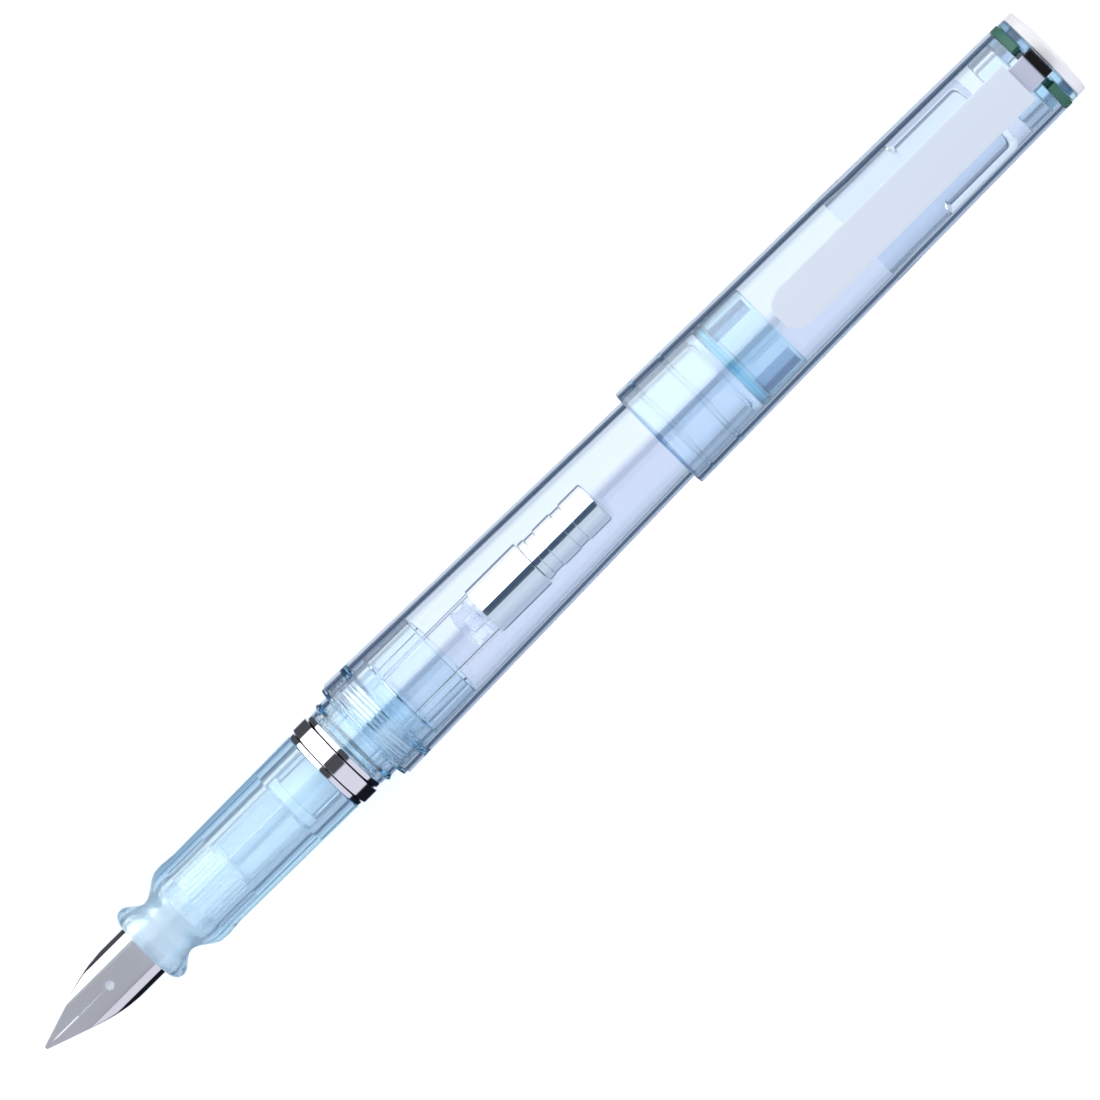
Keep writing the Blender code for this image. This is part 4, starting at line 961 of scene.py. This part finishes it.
PLUG_R, PLUG_FLANGE_R, PLUG_HOLE_R, PLUG_HOLLOW_R = 5.25, 6.02, 1.6, 4.2
PLUG_FLANGE, PLUG_WEB = 156.85, 154.6
SLOT_FRONT, SLOT_HALF, SLOT_LOW = 156.6, 2.05, 1.85
GASKET_R, GASKET_BORE_R, GASKET_GAP_HALF, GASKET_EDGE = 6.12, 5.33, 2.9, 0.15
STUD_R, FINIAL_R, FINIAL_FACE_R, FINIAL_SHOULDER = 1.42, 6.02, 3.0, 157.8
FINIAL_RIM = 159.0


def carve(piece, low, high):
    """Takes the box between two corners out of a piece (millimetres about the pen's axis)."""
    side = np.array([[0, 0], [1, 0], [1, 1], [0, 1]], float)
    low, high = np.array(low, float), np.array(high, float)
    middle = (low + high) / 2
    ring = low[1:] + side * (high[1:] - low[1:])
    wall = [np.column_stack([np.full(4, x), ring]) for x in (low[0], high[0])]
    lids = [np.tile([x, *middle[1:]], (4, 1)) for x in (low[0], high[0])]
    cutter = skin("cutter", [np.stack([lids[0], *wall, lids[1]])])
    cut = piece.modifiers.new("slot", "BOOLEAN")
    cut.operation, cut.solver, cut.object = "DIFFERENCE", "EXACT", cutter
    graph = bpy.context.evaluated_depsgraph_get()
    piece.data = bpy.data.meshes.new_from_object(piece.evaluated_get(graph))
    piece.modifiers.clear()
    bpy.data.objects.remove(cutter)
    piece.data.set_sharp_from_angle(angle=SHARP)


front, rear = ends("cap_plug")
plug = turned("cap_plug_body", [
    (front, PLUG_HOLLOW_R, 0.2), (front, PLUG_R, 0.2), (PLUG_FLANGE, PLUG_R, 0.04),
    (PLUG_FLANGE, PLUG_FLANGE_R, 0.1), (rear, PLUG_FLANGE_R, 0.1), (rear, PLUG_HOLE_R, 0.05),
    (PLUG_WEB, PLUG_HOLE_R, 0.05), (PLUG_WEB, PLUG_HOLLOW_R, 0.3),
], blue_plastic("plug_plastic", 70.0, 0.02), "cap", "blue_plastic")
carve(plug, (SLOT_FRONT, -SLOT_HALF, SLOT_LOW), (rear + 1, SLOT_HALF, 8))


def make_gasket():
    """A ring with a gap at the top: a rounded section carried round, and left open at its last end."""
    front, rear = ends("cap_gasket")
    section = (front, GASKET_BORE_R), (front, GASKET_R), (rear, GASKET_R), (rear, GASKET_BORE_R)
    line = outline([(*corner, GASKET_EDGE) for corner in section])
    gap = math.asin(GASKET_GAP_HALF / GASKET_R)
    ring = spun(line, np.linspace(gap, 2 * math.pi - gap, 120))
    gasket = skin("cap_gasket_body", [capped(ring.swapaxes(0, 1), both_ends=False)])
    rubber = Recipe("green_rubber")
    grain = rubber.noise(1800.0, 4.0)
    shade = rubber.blend(grain, (0.028, 0.125, 0.088), (0.045, 0.175, 0.125))
    normal = rubber.bump(grain, 0.25, 0.00002)
    rubber.finish(rubber.principled(base_color=shade, roughness=0.4 + grain * 0.2, normal=normal))
    fit(gasket, rubber.owner, "cap", "green_rubber", "cap_gasket")


make_gasket()
front, rear = ends("finial")
turned("finial_body", [
    (front, 0.0), (front, STUD_R, 0.15), (FINIAL_SHOULDER, STUD_R, 0.03), (FINIAL_SHOULDER, FINIAL_R, 0.12),
    (FINIAL_RIM, FINIAL_R, 0.3), (rear, FINIAL_FACE_R, 0.5), (rear, 0.0),
], moulded_white("finial_plastic", (0.90, 0.90, 0.93), 0.28), "cap", "white_plastic")


# ---------------- clip
# Pressed from one strip of spring steel: a broad flat arm with a round end and a pad pressed down under
# it, a narrow neck, and a tongue bent down into the head. It is bead-blasted to a pale satin.

CLIP_SHEET, TONGUE_SHEET, CLIP_EDGE = 0.5, 0.38, 0.14
CLIP_ROUND_END, CLIP_ARM_END = 119.1, 154.0
CLIP_TIP_HALF, CLIP_HALF, NECK_HALF = 0.75, 2.7, 1.8
ARM_TOP_AT_TIP, ARM_TOP, NECK_TOP = 7.85, 8.05, 7.45
BEND_START, BEND_R = 157.12, 0.5
TONGUE_LOW, CROWN = 2.2, 0.05
SLOT_SHADE_START = 156.3
PAD_START, PAD_END, PAD_DEPTH = 117.6, 120.9, 0.5
PAD_ROWS, ARM_ROWS = (119.2, 121.2, 12), (122, 153.7, 30)


def clip_rows():
    """The clip's rows as columns of numbers: station and height of its top, lean, half width and sheet.

    The tip is round in plan, sqrt(1 - (1 - u)^2). The arm rises evenly, and ends in a small step down to
    the neck. The bend turns evenly by a quarter, and the tongue goes straight down.
    """
    tip = ends("clip")[0]
    u = 1 - np.cos(np.linspace(0, math.pi / 2, 14))
    round_end = tip + (CLIP_ROUND_END - tip) * u
    x = np.concatenate([round_end, np.linspace(*PAD_ROWS), np.linspace(*ARM_ROWS)])
    half = np.full_like(x, CLIP_HALF)
    half[:len(u)] = CLIP_TIP_HALF + (CLIP_HALF - CLIP_TIP_HALF) * np.sqrt(1 - (1 - u) ** 2)
    top = ARM_TOP_AT_TIP + (ARM_TOP - ARM_TOP_AT_TIP) * (x - tip) / (CLIP_ARM_END - tip)
    pad = plateau(x, (PAD_START, PAD_START + 0.5), (PAD_END - 0.6, PAD_END))
    arm = np.stack([x, top, 0 * x, half, CLIP_SHEET + PAD_DEPTH * pad], -1)
    turn = np.linspace(0, math.pi / 2, 5)
    shoulder = np.stack([
        CLIP_ARM_END - 0.25 + 0.25 * np.sin(turn), ARM_TOP - 0.12 * (1 - np.cos(turn)), 0 * turn,
        CLIP_HALF - 0.25 * (1 - np.cos(turn)), CLIP_SHEET - 0.12 * (1 - np.cos(turn)),
    ], -1)
    x = np.array([CLIP_ARM_END + 0.01, CLIP_ARM_END + 0.1, 155.5, BEND_START - 0.1])
    neck = np.stack([x, 0 * x + NECK_TOP, 0 * x, 0 * x + NECK_HALF, 0 * x + CLIP_SHEET], -1)
    turn = np.linspace(0, math.pi / 2, 9)
    bend = np.stack([
        BEND_START + BEND_R * np.sin(turn), NECK_TOP - BEND_R * (1 - np.cos(turn)), turn,
        0 * turn + NECK_HALF, np.linspace(CLIP_SHEET, TONGUE_SHEET, 9),
    ], -1)
    z = np.array([6.8, 5.0, 3.5, TONGUE_LOW + 0.1, TONGUE_LOW])
    half = np.array([NECK_HALF] * 4 + [NECK_HALF - 0.1])
    tongue = np.stack([0 * z + BEND_START + BEND_R, z, 0 * z + math.pi / 2, half, 0 * z + TONGUE_SHEET], -1)
    return np.concatenate([arm, shoulder, neck, bend, tongue])


def clip_grid():
    """A rounded bar carried along those rows: each corner is a quarter circle, and the top is crowned.

    The tongue's lower end, deep in the head, is left open.
    """
    x, top, lean, half, sheet = (column[:, None] for column in clip_rows().T)
    corner, flat, one = np.linspace(0, math.pi / 2, 6), np.linspace(-0.85, 0.85, 9), np.ones(6)
    rise, run, level = np.sin(corner) - 1, np.cos(corner) - 1, 0 * flat
    across = np.concatenate([flat, one, one, -flat, -one, -one])
    edge_y = np.concatenate([level, rise, run, level, -rise, -run])
    edge_down = np.concatenate([level, -run, rise, level, run, -rise])
    is_low = np.concatenate([level, 0 * one, one, one[0] + level, one, 0 * one])
    edge = np.minimum(CLIP_EDGE, sheet * 0.45)
    y = across * half + edge_y * edge
    depth = is_low * sheet + edge_down * edge + CROWN * (y / CLIP_HALF) ** 2 * (1 - is_low)
    bar = np.stack([x - depth * np.sin(lean), y, top - depth * np.cos(lean)], -1)
    return capped(bar, both_ends=False)


def satin_metal():
    """Pearl-white satin on the arm, with a fine pitted grain.

    From the neck on the strip is bare and smooth; its lilac is a painted reflection, and its bend and
    tongue are painted near black as painted shade in the head's slot.
    """
    metal = Recipe("satin_metal")
    grain = metal.noise(9000.0, 3.0)
    cloud = metal.noise(70.0, 3.0, (0.3, 1.0, 1.0))
    pearl = metal.blend(cloud, (0.71, 0.80, 0.91), (0.78, 0.85, 0.95))
    bare = metal.station().between(CLIP_ARM_END - 0.05, CLIP_ARM_END + 0.02)
    # Painted shade: past this station the bend and tongue are painted near black for the shade of the slot.
    scale = metal.station().between(SLOT_SHADE_START - 0.2, SLOT_SHADE_START + 0.15)
    # Painted reflection: the neck's lilac stands for the lilac panel that it reflects.
    neck_reflection_and_shade = metal.blend(scale, (0.60, 0.64, 0.78), (0.008, 0.007, 0.008))
    shade = metal.blend(bare, pearl, neck_reflection_and_shade)
    normal = metal.bump(grain * (1.0 - bare), 0.3, 0.000008)
    roughness = (0.36 + grain * 0.16) * (1.0 - bare) + bare * 0.22
    shader = metal.principled(base_color=shade, metallic=0.12, roughness=roughness, normal=normal)
    return metal.finish(shader)


clip = skin("clip_spring", [clip_grid()])
fit(clip, satin_metal(), "clip", "satin_metal", "clip")


# ---------------- studio
# The pen lies on a white table that glows a little. Two long soft panels stand along it, a white one and
# a lilac one, with a dim gap overhead between them, and past the table's edges the room is dark.

TABLE_HALF = 1.5
VIEW_STATION, VIEW_SIDE = 79.8, -0.3
VIEW_DISTANCE, VIEW_WIDTH, VIEW_TURN = 1.2, 0.1236, -44.86
VIEW_LEAN, VIEW_SIDE_LEAN = 2.5, 1.4
BRIGHT_SIDE, LILAC_SIDE, SOFT_LILAC = (1.0, 1.0, 1.0), (0.74, 0.74, 0.86), (0.88, 0.89, 0.99)
OVERHEAD, DARK_ROOM, LAMP_SIDE = (0.075, 0.075, 0.085), (0.008, 0.01, 0.014), (2.3, 2.4, 2.5)
TABLE_BRIGHT, TABLE_LILAC, TABLE_EDGE = (0.82, 0.91, 1.02), (0.58, 0.66, 0.86), (0.06, 0.105, 0.19)
SLATE, DIM_SIDE, DIM_LOW = (0.07, 0.11, 0.165), (0.74, 0.85, 0.94), (0.50, 0.60, 0.74)
TABLE_SHADE, TABLE_DUSK = (0.73, 0.84, 0.98), (0.50, 0.60, 0.80)


def round_pen(room, turn, *stops):
    """Colours by the angle about the pen in degrees: 0 is overhead, 90 the bright side, 180 the table."""
    stops = [((angle + 180.0) / 360.0, colour) for angle, colour in stops]
    return room.node("ShaderNodeValToRGB", {"stops": stops}, {0: turn})


table = Recipe("table_surface")
grain = table.noise(400.0, 2.0)
shade = table.blend(grain, (0.86, 0.87, 0.89), (0.88, 0.89, 0.91))
table.finish(table.principled(
    base_color=shade, roughness=0.8, emission_color=(0.97, 0.98, 1.0), emission_strength=0.36
))
side = np.linspace(-TABLE_HALF, TABLE_HALF, 9) / MM
x, y = np.meshgrid(side, side)
floor = skin("table", [np.stack([x, y, 0 * x - AXIS_Z / MM], -1)], loop_columns=False)
if floor.data.polygons[0].normal.z < 0:
    floor.data.flip_normals()
floor.data.materials.append(table.owner)
floor.visible_glossy = floor.visible_transmission = False


# Each kind of ray finds the angle about the pen that it leaves by, and reads its own colours there.
scene = bpy.context.scene
scene.world = scene.world or bpy.data.worlds.new("room")
room = Recipe("room", scene.world)
direction = room.node("ShaderNodeTexCoord", output="Generated")
across, up = (room.node("ShaderNodeSeparateXYZ", sockets={0: direction}, output=axis) for axis in "YZ")
turn = across.math("ARCTAN2", up) / (2 * math.pi) + 0.5
glossy = round_pen(room, turn, *[
    (-180, TABLE_BRIGHT), (-160, TABLE_LILAC), (-155, DARK_ROOM), (-100, DARK_ROOM), (-95, LILAC_SIDE),
    (-22, LILAC_SIDE), (-17, OVERHEAD), (12, OVERHEAD), (16, LAMP_SIDE), (98, LAMP_SIDE), (103, OVERHEAD),
    (155, OVERHEAD), (160, TABLE_BRIGHT), (180, TABLE_BRIGHT),
])
through = round_pen(room, turn, *[
    (-180, TABLE_BRIGHT), (-179.7, TABLE_BRIGHT), (-179.1, TABLE_LILAC), (-158, TABLE_DUSK),
    (-155, TABLE_EDGE), (-140, TABLE_EDGE), (-134, DIM_LOW), (-100, DIM_LOW), (-50, DIM_SIDE),
    (-22, DIM_SIDE), (-19, SLATE), (8, SLATE), (11, LAMP_SIDE), (98, LAMP_SIDE), (104, BRIGHT_SIDE),
    (126, BRIGHT_SIDE), (132, TABLE_EDGE), (155, TABLE_EDGE), (158, TABLE_SHADE), (180, TABLE_BRIGHT),
])
soft = round_pen(room, turn, *[
    (-180, DARK_ROOM), (-100, DARK_ROOM), (-90, SOFT_LILAC), (-20, SOFT_LILAC), (0, BRIGHT_SIDE),
    (20, BRIGHT_SIDE), (90, BRIGHT_SIDE), (100, DARK_ROOM), (180, DARK_ROOM),
])
is_glossy = room.node("ShaderNodeLightPath", output="Is Glossy Ray")
is_through = room.node("ShaderNodeLightPath", output="Is Transmission Ray")
colour = room.blend(is_through, room.blend(is_glossy, soft, glossy), through)
shine = room.node("ShaderNodeBackground", sockets={"Color": colour, "Strength": 1.0})
room.node("ShaderNodeOutputWorld", sockets={"Surface": shine})


data = bpy.data.cameras.new("camera")
data.lens = data.sensor_width * VIEW_DISTANCE / VIEW_WIDTH
data.clip_end = 20.0
camera = bpy.data.objects.new("camera", data)
scene.collection.objects.link(camera)
aim = Vector((NIB_START_X + VIEW_STATION * MM, VIEW_SIDE * MM, AXIS_Z))
lean = Matrix.Rotation(math.radians(-VIEW_SIDE_LEAN), 4, "X")
lean @= Matrix.Rotation(math.radians(VIEW_LEAN), 4, "Y")
stand = aim + (lean @ Vector((0, 0, VIEW_DISTANCE)))
camera.matrix_world = Matrix.Translation(stand) @ lean @ Matrix.Rotation(math.radians(VIEW_TURN), 4, "Z")
scene.camera = camera


# Clear walls lie many deep, so light goes on through all of them.
scene.view_settings.view_transform = "Standard"
scene.cycles.max_bounces = scene.cycles.transmission_bounces = 36
scene.cycles.transparent_max_bounces = 24
scene.cycles.glossy_bounces = 12
